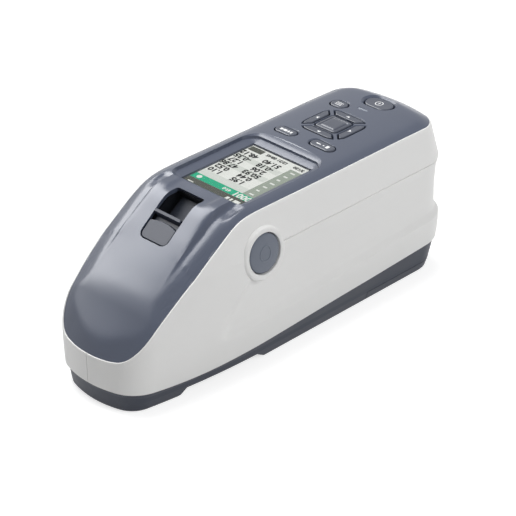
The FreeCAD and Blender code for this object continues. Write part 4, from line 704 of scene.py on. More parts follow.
@dataclass
class TopCover:
    """Dark cover with deck, slope, tongue, pocket, key openings and viewer slot."""

    form: BodyForm
    pad: KeyPad
    viewer: Viewer
    thickness: float = 2.4
    rim_thickness: float = 1.5
    columns: int = 116
    rows: int = 230
    bevel_soft: float = 1.1
    tub_half: float = 29.2
    tub_front: float = -38.2
    tub_rear: float = 35.0
    tub_low: float = 84.4
    pocket_corner: float = 6.5
    rear_arc: float = 75.0
    pocket_levels: tuple[tuple[float, float, float, float], ...] = (
        (93.2, 28.0, -39.0, 34.6), (91.5, 27.3, -37.1, 33.0), (91.0, 26.9, -36.6, 32.2),
        (89.5, 26.5, -34.9, 28.9), (88.2, 26.1, -33.7, 28.5), (87.9, 25.2, -33.2, 27.2),
        (86.95, 20.95, -31.0, 21.85), (83.5, 20.95, -31.0, 21.85))

    def rim(self) -> list[Point]:
        """Dense points round the right half of the cover's outline, with the edge height."""
        points = []
        for step in range(2401):
            x, y = self.form.outline(step / 400.0, self.form.cover_inset)
            base_y = self.form.outline(step / 400.0, 0.0)[1]
            points.append((x, y, self.form.edge(base_y)))
        return points

    def side_curve(self, start: float, end: float, share: float) -> Flat:
        """Point at a share of a run along the outline."""
        return self.form.outline(mix(start, end, share), self.form.cover_inset)

    def curves(self) -> tuple[list[Flat], list[Flat], list[Flat]]:
        """Evenly spaced points along the nose end, the right side and the rear end of the outline."""
        runs = []
        for start, end in ((1.5, 0.0), (1.5, 4.5), (4.5, 6.0)):
            dense = [self.side_curve(start, end, step / 1200.0) for step in range(1201)]
            runs.append(dense)
        return runs[0], runs[1], runs[2]

    @staticmethod
    def along(run: Sequence[Flat], lengths: Sequence[float], share: float) -> Flat:
        """Point at a share of a run's length."""
        target = share * lengths[-1]
        low, high = 0, len(lengths) - 1
        while high - low > 1:
            middle = (low + high) // 2
            low, high = (middle, high) if lengths[middle] <= target else (low, middle)
        span = lengths[high] - lengths[low]
        part = (target - lengths[low]) / span if span > 0 else 0.0
        return mix(run[low][0], run[high][0], part), mix(run[low][1], run[high][1], part)

    def build(self) -> bpy.types.Object:
        """Makes the whole cover."""
        shell = self.thickened(self.skin())
        combine(shell, self.tub(), "UNION")
        combine(shell, self.pocket())
        combine(shell, self.viewer.slot_cutter())
        combine(shell, self.pad.dish_cutter())
        combine(shell, self.pad.key_cutters())
        shell.name = "dark_cover"
        smooth(shell, 28.0)
        return hand_over(shell, DECK_PAINT, "housing", "dark_cover", "top_cover")

    def skin(self) -> bpy.types.Object:
        """Outer surface as one patch inside the outline."""
        runs = self.curves()
        lengths = []
        for run in runs:
            total = [0.0]
            for first, second in zip(run, run[1:]):
                total.append(total[-1] + math.dist(first, second))
            lengths.append(total)
        tree = KDTree(2 * 2401)
        rim = self.rim()
        edges = []
        for sign in (1.0, -1.0):
            for x, y, z in rim:
                tree.insert((sign * x, y, 0.0), len(edges))
                edges.append(z)
        tree.balance()
        corner_low = runs[1][0]
        corner_high = runs[1][-1]

        def place(column: int, row: int) -> Point:
            across = 2.0 * column / self.columns - 1.0
            u = math.copysign(1.0 - (1.0 - abs(across)) ** 1.6, across)
            part = row / self.rows
            v = part - 0.6 * math.sin(2 * math.pi * part) / (2 * math.pi)
            nose = self.along(runs[0], lengths[0], 1.0 - abs(u))
            rear = self.along(runs[2], lengths[2], 1.0 - abs(u))
            side = self.along(runs[1], lengths[1], v)
            nose_x, rear_x = math.copysign(nose[0], u), math.copysign(rear[0], u)
            x = ((1 - v) * nose_x + v * rear_x + u * side[0]
                 - u * ((1 - v) * corner_low[0] + v * corner_high[0]))
            y = ((1 - v) * nose[1] + v * rear[1] + side[1]
                 - ((1 - v) * corner_low[1] + v * corner_high[1]))
            _, index, distance = tree.find((x, y, 0.0))
            near_y = rim[index % 2401][1]
            bevel = edges[index] + distance * self.form.bevel_slope(near_y)
            return x, y, smooth_low(self.form.surface(x, y), bevel, self.bevel_soft)

        return sheet("dark_cover_skin", self.columns, self.rows, place)

    def thickened(self, shell: bpy.types.Object) -> bpy.types.Object:
        """Gives the skin its thickness, straight down and thinner at the rim."""
        tops = {(round(v.co.x, 6), round(v.co.y, 6)): v.co.z for v in shell.data.vertices}
        tree = KDTree(2 * 2401)
        for index, (x, y, _) in enumerate(self.rim()):
            tree.insert((x, y, 0.0), 2 * index)
            tree.insert((-x, y, 0.0), 2 * index + 1)
        tree.balance()
        edit(shell, lambda: bpy.ops.mesh.extrude_region_move(TRANSFORM_OT_translate={"value": (0, 0, -0.2)}))
        for vertex in shell.data.vertices:
            if vertex.co.z < 0.0:
                away = tree.find((vertex.co.x / MM, vertex.co.y / MM, 0.0))[2]
                down = mix(self.rim_thickness, self.thickness, smooth_step(0.5, 4.0, away))
                vertex.co.z = tops[round(vertex.co.x, 6), round(vertex.co.y, 6)] - down * MM
        edit(shell, outward)
        return shell

    def tub(self) -> bpy.types.Object:
        """Block under the deck that the pocket is sunk into."""
        columns, rows = 48, 60

        def place(column: int, row: int) -> Point:
            x = mix(-self.tub_half, self.tub_half, column / columns)
            y = mix(self.tub_front, self.tub_rear, row / rows)
            return x, y, self.form.surface(x, y) - 0.8

        block = sheet("tub", columns, rows, place)
        edit(block, lambda: bpy.ops.mesh.extrude_region_move(TRANSFORM_OT_translate={"value": (0, 0, -0.02)}))
        for vertex in block.data.vertices:
            if vertex.co.z < 80.0 * MM:
                vertex.co.z = self.tub_low * MM
        edit(block, outward)
        return block

    def pocket(self) -> bpy.types.Object:
        """Cutter of the stepped pocket round the screen."""
        loops = []
        for z, half, front, rear in self.pocket_levels:
            radius = self.pocket_corner * (1.0 if z > 87.0 else 0.08)
            outline = rounded_rectangle((0.0, (front + rear) / 2), (half, (rear - front) / 2), radius, 10)
            arced = []
            for x, y in outline:
                bow = x * x / (2 * self.rear_arc) if z > 87.0 else 0.0
                arced.append((x, y - bow * smooth_step(front, rear, y), z))
            loops.append(arced)
        return loft("pocket_cutter", loops)


@dataclass
class SideCovers:
    """Pale side covers, alike but for their side."""

    form: BodyForm
    button: MeasureButton
    inner_rows: int = 10
    outer_rows: int = 166
    crease_z: float = 68.2
    crease_row: int = 128
    grip_low: Flat = (27.5, 0.0567)
    grip_levels: tuple[Flat, ...] = ((0.0, -1.5), (1.6, 0.4), (4.6, 2.3), (8.0, 2.75), (22.0, 2.9), (34.0, 2.3),
                                     (38.6, 1.5), (39.4, 1.3), (39.65, 2.1), (40.2, 2.1), (40.42, 0.2), (40.6, 0.0))
    slant: tuple[Flat, ...] = ((24.0, -57.0), (26.5, -60.6), (30.0, -61.5), (33.5, -60.6), (39.0, -58.1),
                               (55.0, -43.0), (68.0, -30.6), (80.0, -20.0))
    grip_runout: float = 9.0
    edge_band: float = 16.0
    lip_profile: tuple[Flat, ...] = ((0.0, -0.6), (0.10, -0.22), (0.32, 0.0), (0.66, 0.02), (0.80, -0.12),
                                     (0.82, -1.6))

    def stations(self) -> list[float]:
        """Stretch values of the columns from the nose seam to the rear seam."""
        counts = ((0.0, 1.0, 14), (1.0, 2.0, 26), (2.0, 3.0, 120), (3.0, 3.12, 20), (3.12, 4.0, 60), (4.0, 5.0, 26),
                  (5.0, 6.0, 26))
        values = []
        for start, end, count in counts:
            values += [mix(start, end, step / count) for step in range(count)]
        return values + [6.0]

    def grip(self, y: float, z: float) -> float:
        """Inset of the grip recess at a height, or less in front of it."""
        low = self.grip_low[0] + self.grip_low[1] * y
        share = (z - low) / (self.crease_z - low)
        if share < 0.0 or share > 1.0:
            return -FAR
        depth = on_table(self.grip_levels, share * self.grip_levels[-1][0])
        start = on_table(self.slant, z)
        return depth * smooth_step(start - 0.8, start + self.grip_runout, y) ** 0.8 if depth > 0 else depth

    def outer(self, stretch: float, z: float) -> Point:
        """Point of the outer face at a height."""
        lean, nose_out = self.form.lean(z)
        base_y = self.form.outline(stretch, 0.0)[1]
        top = self.form.edge(base_y)
        lean += on_curve(self.form.edge_inset, base_y) * smooth_step(top - self.edge_band, top - 1.0, z)
        x, y = self.form.outline(stretch, smooth_high(lean, self.grip(base_y, z), 0.12), nose_out)
        return max(x, self.form.seam / 2), y, z

    def heights(self, y: float) -> tuple[float, float, float]:
        """Heights of the lower edge, the crease row and the upper edge."""
        low, top = self.form.parting_height(y), self.form.edge(y)
        crease = mix(mix(low, top, 0.73), self.crease_z, smooth_step(-60.0, -50.0, y))
        return low, min(crease, top - 4.0), top

    def row_height(self, y: float, row: int) -> float:
        """Height of a row of the outer face, with rows crowded under the crease."""
        low, crease, top = self.heights(y)
        if row <= self.crease_row:
            share = row / self.crease_row
            return mix(low, crease, share + 0.8 * share * (1.0 - share))
        return mix(crease, top - 0.9, (row - self.crease_row) / (self.outer_rows - self.crease_row))

    def build(self) -> list[bpy.types.Object]:
        """Makes both covers."""
        lip = self.lip_profile
        total = self.outer_rows + len(lip) + self.inner_rows

        def section(stretch: float, row: int) -> Point:
            base_y = self.form.outline(stretch, 0.0)[1]
            low, _, top = self.heights(base_y)
            if row <= self.outer_rows:
                return self.outer(stretch, self.row_height(base_y, row))
            shift = on_curve(self.form.edge_inset, base_y)
            if row <= self.outer_rows + len(lip):
                inward, lift = lip[row - self.outer_rows - 1]
                lean, nose_out = self.form.lean(top)
                x, y = self.form.outline(stretch, lean + inward + shift, nose_out)
                return max(x, self.form.seam / 2), y, top + lift
            share = (row - self.outer_rows - len(lip)) / self.inner_rows
            z = mix(top - 2.4, low, share)
            lean, nose_out = self.form.lean(z)
            deep = max(lean + max(0.0, shift) * (1.0 - share), self.grip(base_y, z) if z < self.crease_z else 0.0)
            x, y = self.form.outline(stretch, deep + self.form.wall, nose_out)
            return max(x, self.form.seam / 2), y, z

        loops = [[section(stretch, row) for row in range(total + 1)] for stretch in self.stations()]
        right = loft("pale_cover_right", loops)
        combine(right, self.button.ring(), "UNION")
        combine(right, self.button.bore_cutter())
        combine(right, self.panel_cutter())
        smooth(right, 30.0)
        left = mirrored(right, "pale_cover_left")
        return [hand_over(right, SHELL_PAINT, "housing", "pale_shell", "side_cover_right"),
                hand_over(left, SHELL_PAINT, "housing", "pale_shell", "side_cover_left")]

    def panel_cutter(self) -> bpy.types.Object:
        """Cutter of the opening for the port panel."""
        loops = [[(x, y, z) for x, z in rounded_rectangle((0.0, 51.5), (17.15, 6.15), 1.2)]
                 for y in (98.0, 125.0)]
        return loft("panel_cutter", loops)


@dataclass
class BaseBand:
    """Dark band of the base between its foot and the pale sides."""

    form: BodyForm
    low: float = 8.6
    low_inset: float = 4.15
    top_gap: float = 0.75
    rows: int = 14
    thickness: float = 1.6

    def build(self) -> bpy.types.Object:
        """Makes the band right round the body."""
        stations = [6.0 * step / 360 for step in range(361)]
        turns = [(s, 1.0) for s in stations] + [(s, -1.0) for s in reversed(stations[1:-1])]
        loops = []
        for stretch, sign in turns:
            base_y = self.form.outline(stretch, 0.0)[1]
            top = self.form.parting_height(base_y)
            loop = []
            for inner in (0.0, self.thickness):
                levels = []
                for row in range(self.rows + 1):
                    share = row / self.rows
                    z = mix(self.low, top + 0.8, share)
                    lean, nose_out = self.form.lean(top)
                    inset = mix(self.low_inset, lean + self.top_gap, share) + inner
                    x, y = self.form.outline(stretch, inset, nose_out * mix(1.1, 0.9, share))
                    levels.append((sign * x, y, z))
                loop += levels if inner == 0.0 else list(reversed(levels))
            loops.append(loop)
        band = loft("base_band", loops, capped=False)
        smooth(band, 40.0)
        return hand_over(band, BASE_PLASTIC, "housing", "base_plastic")


@dataclass
class MeasureButton:
    """Round measuring button in its raised ring, which leans with the side."""

    centre: Point = (38.85, -30.5, 65.9)
    tilt: float = 6.5
    radius: float = 10.6
    gap: float = 0.5
    ring_levels: tuple[Flat, ...] = (
        (-5.0, 14.9), (-2.2, 14.6), (-1.1, 14.3), (-0.45, 13.95), (-0.12, 13.5), (0.0, 13.0), (0.0, 12.2),
        (-0.1, 11.6), (-0.3, 9.0), (-0.6, 5.0), (-0.7, 1.0))
    face_levels: tuple[Flat, ...] = (
        (-7.0, 0.0), (-1.5, 0.0), (-1.0, -0.12), (-0.7, -0.4), (-0.5, -0.9), (-0.4, -1.6), (-0.25, -3.0),
        (-0.1, -5.2), (0.0, -7.8), (0.05, -10.2))

    def at(self, out: float, across: float, up: float) -> Point:
        """Point at a distance out of the button's plane, along the body and up the plane."""
        turn = math.radians(self.tilt)
        x, y, z = self.centre
        return (x + out * math.cos(turn) - up * math.sin(turn), y + across,
                z + out * math.sin(turn) + up * math.cos(turn))

    def disc(self, out: float, radius: float, count: int = 96) -> list[Point]:
        """Loop about the button's axis."""
        return [self.at(out, a, b) for a, b in circle(radius, count)]

    def ring(self) -> bpy.types.Object:
        """Solid boss that carries the ring."""
        return loft("button_ring", [self.disc(out, radius) for out, radius in self.ring_levels])

    def bore_cutter(self) -> bpy.types.Object:
        """Cutter of the button's bore, rounded at its mouth."""
        bore = self.radius + self.gap
        levels = ((-9.0, bore), (-0.6, bore), (-0.3, bore + 0.12), (-0.1, bore + 0.4), (0.1, bore + 0.9),
                  (2.0, bore + 3.5))
        return loft("bore_cutter", [self.disc(out, radius) for out, radius in levels])

    def mark(self) -> bpy.types.Object:
        """Rounded drop as a raised line on the face."""
        path = []
        for step in range(60):
            turn = 2 * math.pi * step / 60
            reach = 3.7 * (1.0 + 0.22 * max(0.0, math.cos(turn - math.radians(75.0))) ** 3)
            path.append((reach * math.cos(turn), reach * math.sin(turn) - 0.3))
        loops = []
        for step in range(8):
            turn = 2 * math.pi * step / 8
            out, up = 0.5 * math.cos(turn), 0.3 * math.sin(turn)
            loops.append([self.at(up - 0.05, a * (1 + out / 4.0), b * (1 + out / 4.0)) for a, b in path])
        return loft("button_mark", loops, capped=False)

    def build(self) -> list[bpy.types.Object]:
        """Makes both buttons."""
        cap = loft("button_cap", [self.disc(out, self.radius + margin) for out, margin in self.face_levels])
        right = joined("button_right", [cap, self.mark()])
        smooth(right, 40.0)
        left = mirrored(right, "button_left")
        return [hand_over(right, BUTTON_PLASTIC, "measure_button_right", "button_plastic", "measure_button_right"),
                hand_over(left, BUTTON_PLASTIC, "measure_button_left", "button_plastic", "measure_button_left")]


@dataclass(frozen=True)
class PillKey:
    """A single key of the deck: its solid's name, centre, size and how far its top lies off the deck."""

    node: str
    centre: Flat
    size: Flat
    lift: float = 0.1


@dataclass
class KeyPad:
    """Keys of the deck with their openings and marks."""

    form: BodyForm
    gap: float = 0.6
    flare: float = 0.6
    key_low: float = 86.8
    pills: tuple[PillKey, ...] = (
        PillKey("power_key", (0.0, 97.0), (17.2, 10.2), -0.9), PillKey("upper_key", (-14.5, 81.0), (10.4, 7.0)),
        PillKey("left_key", (-13.1, 38.3), (13.6, 6.4)), PillKey("right_key", (12.0, 39.3), (15.6, 6.4)))
    nav_centre: Flat = (0.0, 60.9)
    nav_half: Flat = (14.8, 14.2)
    nav_corner: float = 8.5
    frame_half: Flat = (9.0, 8.8)
    frame_corner: float = 3.0
    rib: float = 2.4
    centre_half: float = 7.6

    def deck_at(self, x: float, y: float) -> float:
        """Height of the deck."""
        return self.form.surface(x, y)

    def pill(self, key: PillKey, margin: float) -> list[Flat]:
        """Outline of a pill key grown by a margin."""
        half = (key.size[0] / 2 + margin, key.size[1] / 2 + margin)
        return rounded_rectangle(key.centre, half, half[1] - 0.02, 8)

    def key_cutters(self) -> bpy.types.Object:
        """Cutter of every key opening."""
        tools = []
        for key in self.pills:
            deck = self.deck_at(*key.centre)
            low = deck if key.lift >= 0 else deck - 1.15
            levels = ((self.gap, 80.0), (self.gap, low - 0.7), (self.gap + 0.2, low - 0.3),
                      (self.gap + self.flare, low + 0.12), (self.gap + self.flare + 1.4, low + 1.4))
            tools.append(loft("cut", level_loops(lambda m, k=key: self.pill(k, m), levels)))
        for arrow in Arrow:
            levels = ((0.0, 80.0), (0.0, 90.5), (0.15, 90.9), (0.6, 91.35), (1.6, 92.4))
            tools.append(loft("cut", level_loops(lambda m, a=arrow: self.sector(a, m), levels)))
        levels = ((0.35, 80.0), (0.35, 90.4), (0.5, 90.8), (0.85, 91.4), (1.6, 92.3))
        tools.append(loft("cut", level_loops(
            lambda m: rounded_rectangle(self.nav_centre, (self.centre_half + m,) * 2, 2.0 + m), levels)))
        slit = level_loops(lambda m: rounded_rectangle((-0.8, 84.8), (3.3 + m, 0.6 + m), 0.6 + m, 4),
                           ((0.05, 80.0), (0.05, 90.9), (0.5, 91.6)))
        tools.append(loft("cut", slit))
        return joined("key_cutters", tools)

    def dish_cutter(self) -> bpy.types.Object:
        """Cutter of the dish round the power key."""
        key = self.pills[0]
        levels = ((2.6, 94.2), (2.0, 91.75), (1.75, 91.2), (1.2, 90.55), (0.9, 90.2))
        return loft("dish_cutter", level_loops(lambda m: self.pill(key, m), levels))

    def sector(self, arrow: Arrow, margin: float) -> list[Flat]:
        """Outline of one key of the ring between its ribs.

        Args:
            arrow: Which key.
            margin: How far the outline is grown.

        Returns:
            Points round the outline.
        """
        outer, inner = self.nav_half[0] + margin, self.frame_half[0] - margin
        slack = self.rib / math.sqrt(2.0) - margin * math.sqrt(2.0)
        points = []
        corner = self.nav_corner + margin
        count = 18
        for step in range(count + 1):
            along = mix(-(outer - slack), outer - slack, step / count)
            sag = max(0.0, abs(along) - (outer - corner))
            reach = outer - corner + math.sqrt(max(0.0, corner ** 2 - sag ** 2))
            if abs(along) > reach - slack:
                along = math.copysign(self.diagonal(outer, corner, slack), along)
                sag = max(0.0, abs(along) - (outer - corner))
                reach = outer - corner + math.sqrt(max(0.0, corner ** 2 - sag ** 2))
            points.append((along, reach))
        for step in range(count + 1):
            along = mix(inner - slack, -(inner - slack), step / count)
            points.append((along, inner))
        dx, dy = arrow.value
        placed = []
        for along, reach in points:
            x, y = reach * dx + along * dy, reach * dy - along * dx
            placed.append((self.nav_centre[0] + x, self.nav_centre[1] + y * self.nav_half[1] / self.nav_half[0]))
        return placed

    @staticmethod
    def diagonal(outer: float, corner: float, slack: float) -> float:
        """Where the ring's outer edge meets the side of a rib."""
        low, high = outer - corner, outer
        for _ in range(30):
            middle = (low + high) / 2
            reach = outer - corner + math.sqrt(max(0.0, corner ** 2 - (middle - outer + corner) ** 2))
            low, high = (middle, high) if middle < reach - slack else (low, middle)
        return low

    def cap(self, name: str, outline: Callable[[float], Sequence[Flat]], top: float,
            round_edge: float = 0.7) -> bpy.types.Object:
        """A key cap from its outline, with a rounded upper edge and a faintly hollow top."""
        r = round_edge
        levels = ((0.0, self.key_low), (0.0, top - r), (-0.13 * r, top - 0.5 * r), (-0.5 * r, top - 0.12 * r),
                  (-r, top), (-r - 0.7, top - 0.04))
        return loft(name, level_loops(outline, levels))

    def build(self) -> list[bpy.types.Object]:
        """Makes the keys, their marks and the status light."""
        made = []
        for key in self.pills:
            top = self.deck_at(*key.centre) + key.lift
            cap = self.cap(key.node + "_cap", lambda m, k=key: self.pill(k, m), top)
            smooth(cap, 40.0)
            made.append(hand_over(cap, KEY_PLASTIC, key.node, "key_plastic", key.node))
            made.append(self.mark(key, top))
        for arrow in Arrow:
            made += self.arrow_key(arrow)
        made += self.centre_key()
        made.append(self.status_light())
        return made

    def arrow_key(self, arrow: Arrow) -> list[bpy.types.Object]:
        """One key of the ring and its triangle."""
        node = f"nav_{arrow.name.lower()}_key"
        top = 91.35
        cap = self.cap(node + "_cap", lambda m: self.sector(arrow, m - 0.75), top, 0.5)
        smooth(cap, 40.0)
        dx, dy = arrow.value
        reach = 11.6
        points = []
        for along, out in ((-1.25, -0.65), (1.25, -0.65), (0.0, 0.85)):
            x = self.nav_centre[0] + (reach + out) * dx + along * dy
            y = self.nav_centre[1] + (reach + out) * dy - along * dx
            points.append((x, y))
        mark = loft(node + "_mark", [[(x, y, z) for x, y in points] for z in (top - 0.2, top + 0.03)])
        return [hand_over(cap, KEY_PLASTIC, node, "key_plastic", node),
                hand_over(mark, MARK_INK, node, "key_plastic")]

    def centre_key(self) -> list[bpy.types.Object]:
        """Centre key with its raised inner square."""
        half, x, y = self.centre_half - 0.35, *self.nav_centre
        levels = ((0.0, self.key_low), (0.0, 91.0), (-0.12, 91.3), (-0.45, 91.5), (-1.5, 91.55), (-1.75, 91.25),
                  (-2.1, 91.2), (-2.35, 91.5), (-2.8, 91.72), (-3.6, 91.75))
        cap = loft("nav_centre_cap", level_loops(
            lambda m: rounded_rectangle((x, y), (half + m, half + m), max(0.9, 1.8 + m)), levels))
        smooth(cap, 40.0)
        return [hand_over(cap, KEY_PLASTIC, "nav_centre_key", "key_plastic", "nav_centre_key")]

    def status_light(self) -> bpy.types.Object:
        """Light pipe in its slit."""
        levels = ((0.0, 84.0), (0.0, 91.05), (-0.15, 91.2))
        bar = loft("status_bar", level_loops(
            lambda m: rounded_rectangle((-0.8, 84.8), (3.3 + m, 0.62 + m), 0.6 + m, 4), levels))
        smooth(bar, 40.0)
        return hand_over(bar, STATUS_LENS, "housing", "status_lens", "status_light")

    def mark(self, key: PillKey, top: float) -> bpy.types.Object:
        """White sign on a pill key."""
        x, y = key.centre
        bars = {
            "power_key": [],
            "upper_key": [(-2.2, 1.0, 4.4, 0.45), (-2.2, -0.2, 4.4, 0.45), (-2.2, -1.4, 4.4, 0.45)],
            "left_key": [(-4.0, -0.9, 1.6, 1.9), (-1.8, -0.9, 2.4, 1.9), (1.2, -0.9, 1.2, 1.9), (3.0, -0.9, 1.2, 1.9)],
            "right_key": [(-4.2, -0.35, 3.0, 0.8), (0.3, -0.35, 1.0, 0.8), (2.6, -1.2, 1.8, 2.5)],
        }[key.node]
        pieces = []
        for bx, by, w, h in bars:
            outline = rounded_rectangle((x + bx + w / 2, y + by + h / 2), (w / 2, h / 2), 0.2, 3)
            pieces.append(loft("bar", [[(a, b, z) for a, b in outline] for z in (top - 0.2, top + 0.01)]))
        if key.node == "power_key":
            loops = []
            for step in range(6):
                turn = 2 * math.pi * step / 6
                radius = 2.1 + 0.22 * math.cos(turn)
                loops.append([(x + a, y + b, top + 0.06 * math.sin(turn)) for a, b in circle(radius, 40)])
            pieces.append(loft("ring", loops, capped=False))
            outline = rounded_rectangle((x, y), (0.25, 1.15), 0.2, 3)
            pieces.append(loft("bar", [[(a, b, z) for a, b in outline] for z in (top - 0.2, top + 0.02)]))
        return hand_over(joined(key.node + "_mark", pieces), MARK_INK, key.node, "key_plastic")


@dataclass
class Viewer:
    """Slot in the slope with the sliding cover over the viewing window."""

    form: BodyForm
    slot_y: float = -58.5
    length: float = 32.8
    half: float = 9.8
    low_corner: float = 4.0
    high_corner: float = 1.6
    angle: float = 32.3
    slider_length: float = 15.9
    gap: float = 0.55

    def frame(self) -> Matrix:
        """Matrix from the viewer's own frame, across, up the slope and out of it, to the body's."""
        turn = math.radians(self.angle)
        reach = self.length / 2
        low = self.form.tongue_height(self.slot_y - reach * math.cos(turn))
        place = Vector((0.0, self.slot_y, low + reach * math.sin(turn)))
        return Matrix.Translation(place) @ Matrix.Rotation(turn, 4, "X")

    def plan(self, start: float, end: float, half: float, low: float, high: float) -> list[Flat]:
        """Outline with rounder lower corners than upper ones."""
        points = []
        corners = ((half, end, high, 0), (-half, end, high, 1), (-half, start, low, 2), (half, start, low, 3))
        for x, y, radius, quarter in corners:
            cx, cy = x - math.copysign(radius, x), y - (radius if y == end else -radius)
            for step in range(9):
                turn = math.radians(90.0 * (quarter + step / 8))
                points.append((cx + radius * math.cos(turn), cy + radius * math.sin(turn)))
        return points

    def slot_cutter(self) -> bpy.types.Object:
        """Cutter of the slot, a straight prism with rounded corners."""
        start, end = -self.length / 2, self.length / 2
        outline = self.plan(start, end, self.half, self.low_corner, self.high_corner)
        loops = [[(x, y, n) for x, y in outline] for n in (-14.0, 10.0)]
        return moved(loft("slot_cutter", loops), self.frame())

    def surface_line(self, s: float) -> float:
        """Height of the tongue's surface over the slider's path."""
        return (s + self.length / 2) * math.tan(math.radians(self.form.tongue_angle - self.angle))

    def slider_height(self, x: float, s: float) -> float:
        """Height of the slider's upper face in the viewer's frame."""
        end = self.slider_length + self.gap - self.length / 2
        share = min(1.0, abs(x) / (self.half - self.gap))
        arch = end - 4.5 - 1.5 * share ** 2
        depth = 3.0 * smooth_step(arch - 0.3, arch + 0.8, s)
        rib = (depth + 1.3) * smooth_step(end - 2.15, end - 1.65, s)
        return self.surface_line(s) - 0.45 - depth + rib

    def build(self) -> list[bpy.types.Object]:
        """Makes the slider."""
        start = -self.length / 2 + self.gap
        end = start + self.slider_length
        side, corner = self.half - self.gap, self.low_corner - self.gap
        columns, rows, edge = 56, 110, 0.45

        def width(s: float) -> float:
            low = corner - (s - start)
            cut = corner - math.sqrt(max(0.0, corner ** 2 - low ** 2)) if low > 0 else 0.0
            high = 1.2 - (end - s)
            return side - cut - (1.2 - math.sqrt(max(0.0, 1.44 - high ** 2)) if high > 0 else 0.0)

        def place(column: int, row: int) -> Point:
            part = row / rows
            s = mix(start, end, part - 0.5 * math.sin(2 * math.pi * part) / (2 * math.pi))
            across = 2.0 * column / columns - 1.0
            u = math.copysign(1.0 - (1.0 - abs(across)) ** 1.5, across)
            x = u * width(s)
            inner = min(s - start, end - s, width(s) - abs(x))
            fall = edge - math.sqrt(max(0.0, edge ** 2 - (edge - inner) ** 2)) if inner < edge else 0.0
            return x, s, self.slider_height(x, s) - fall

        slider = sheet("slider", columns, rows, place)
        apply_modifier(slider, "SOLIDIFY", thickness=1.6 * MM, offset=-1.0)
        edit(slider, outward)
        moved(slider, self.frame())
        smooth(slider, 35.0)
        return [hand_over(slider, SLIDER_PLASTIC, "viewer_slider", "slider_plastic", "viewer_slider")]


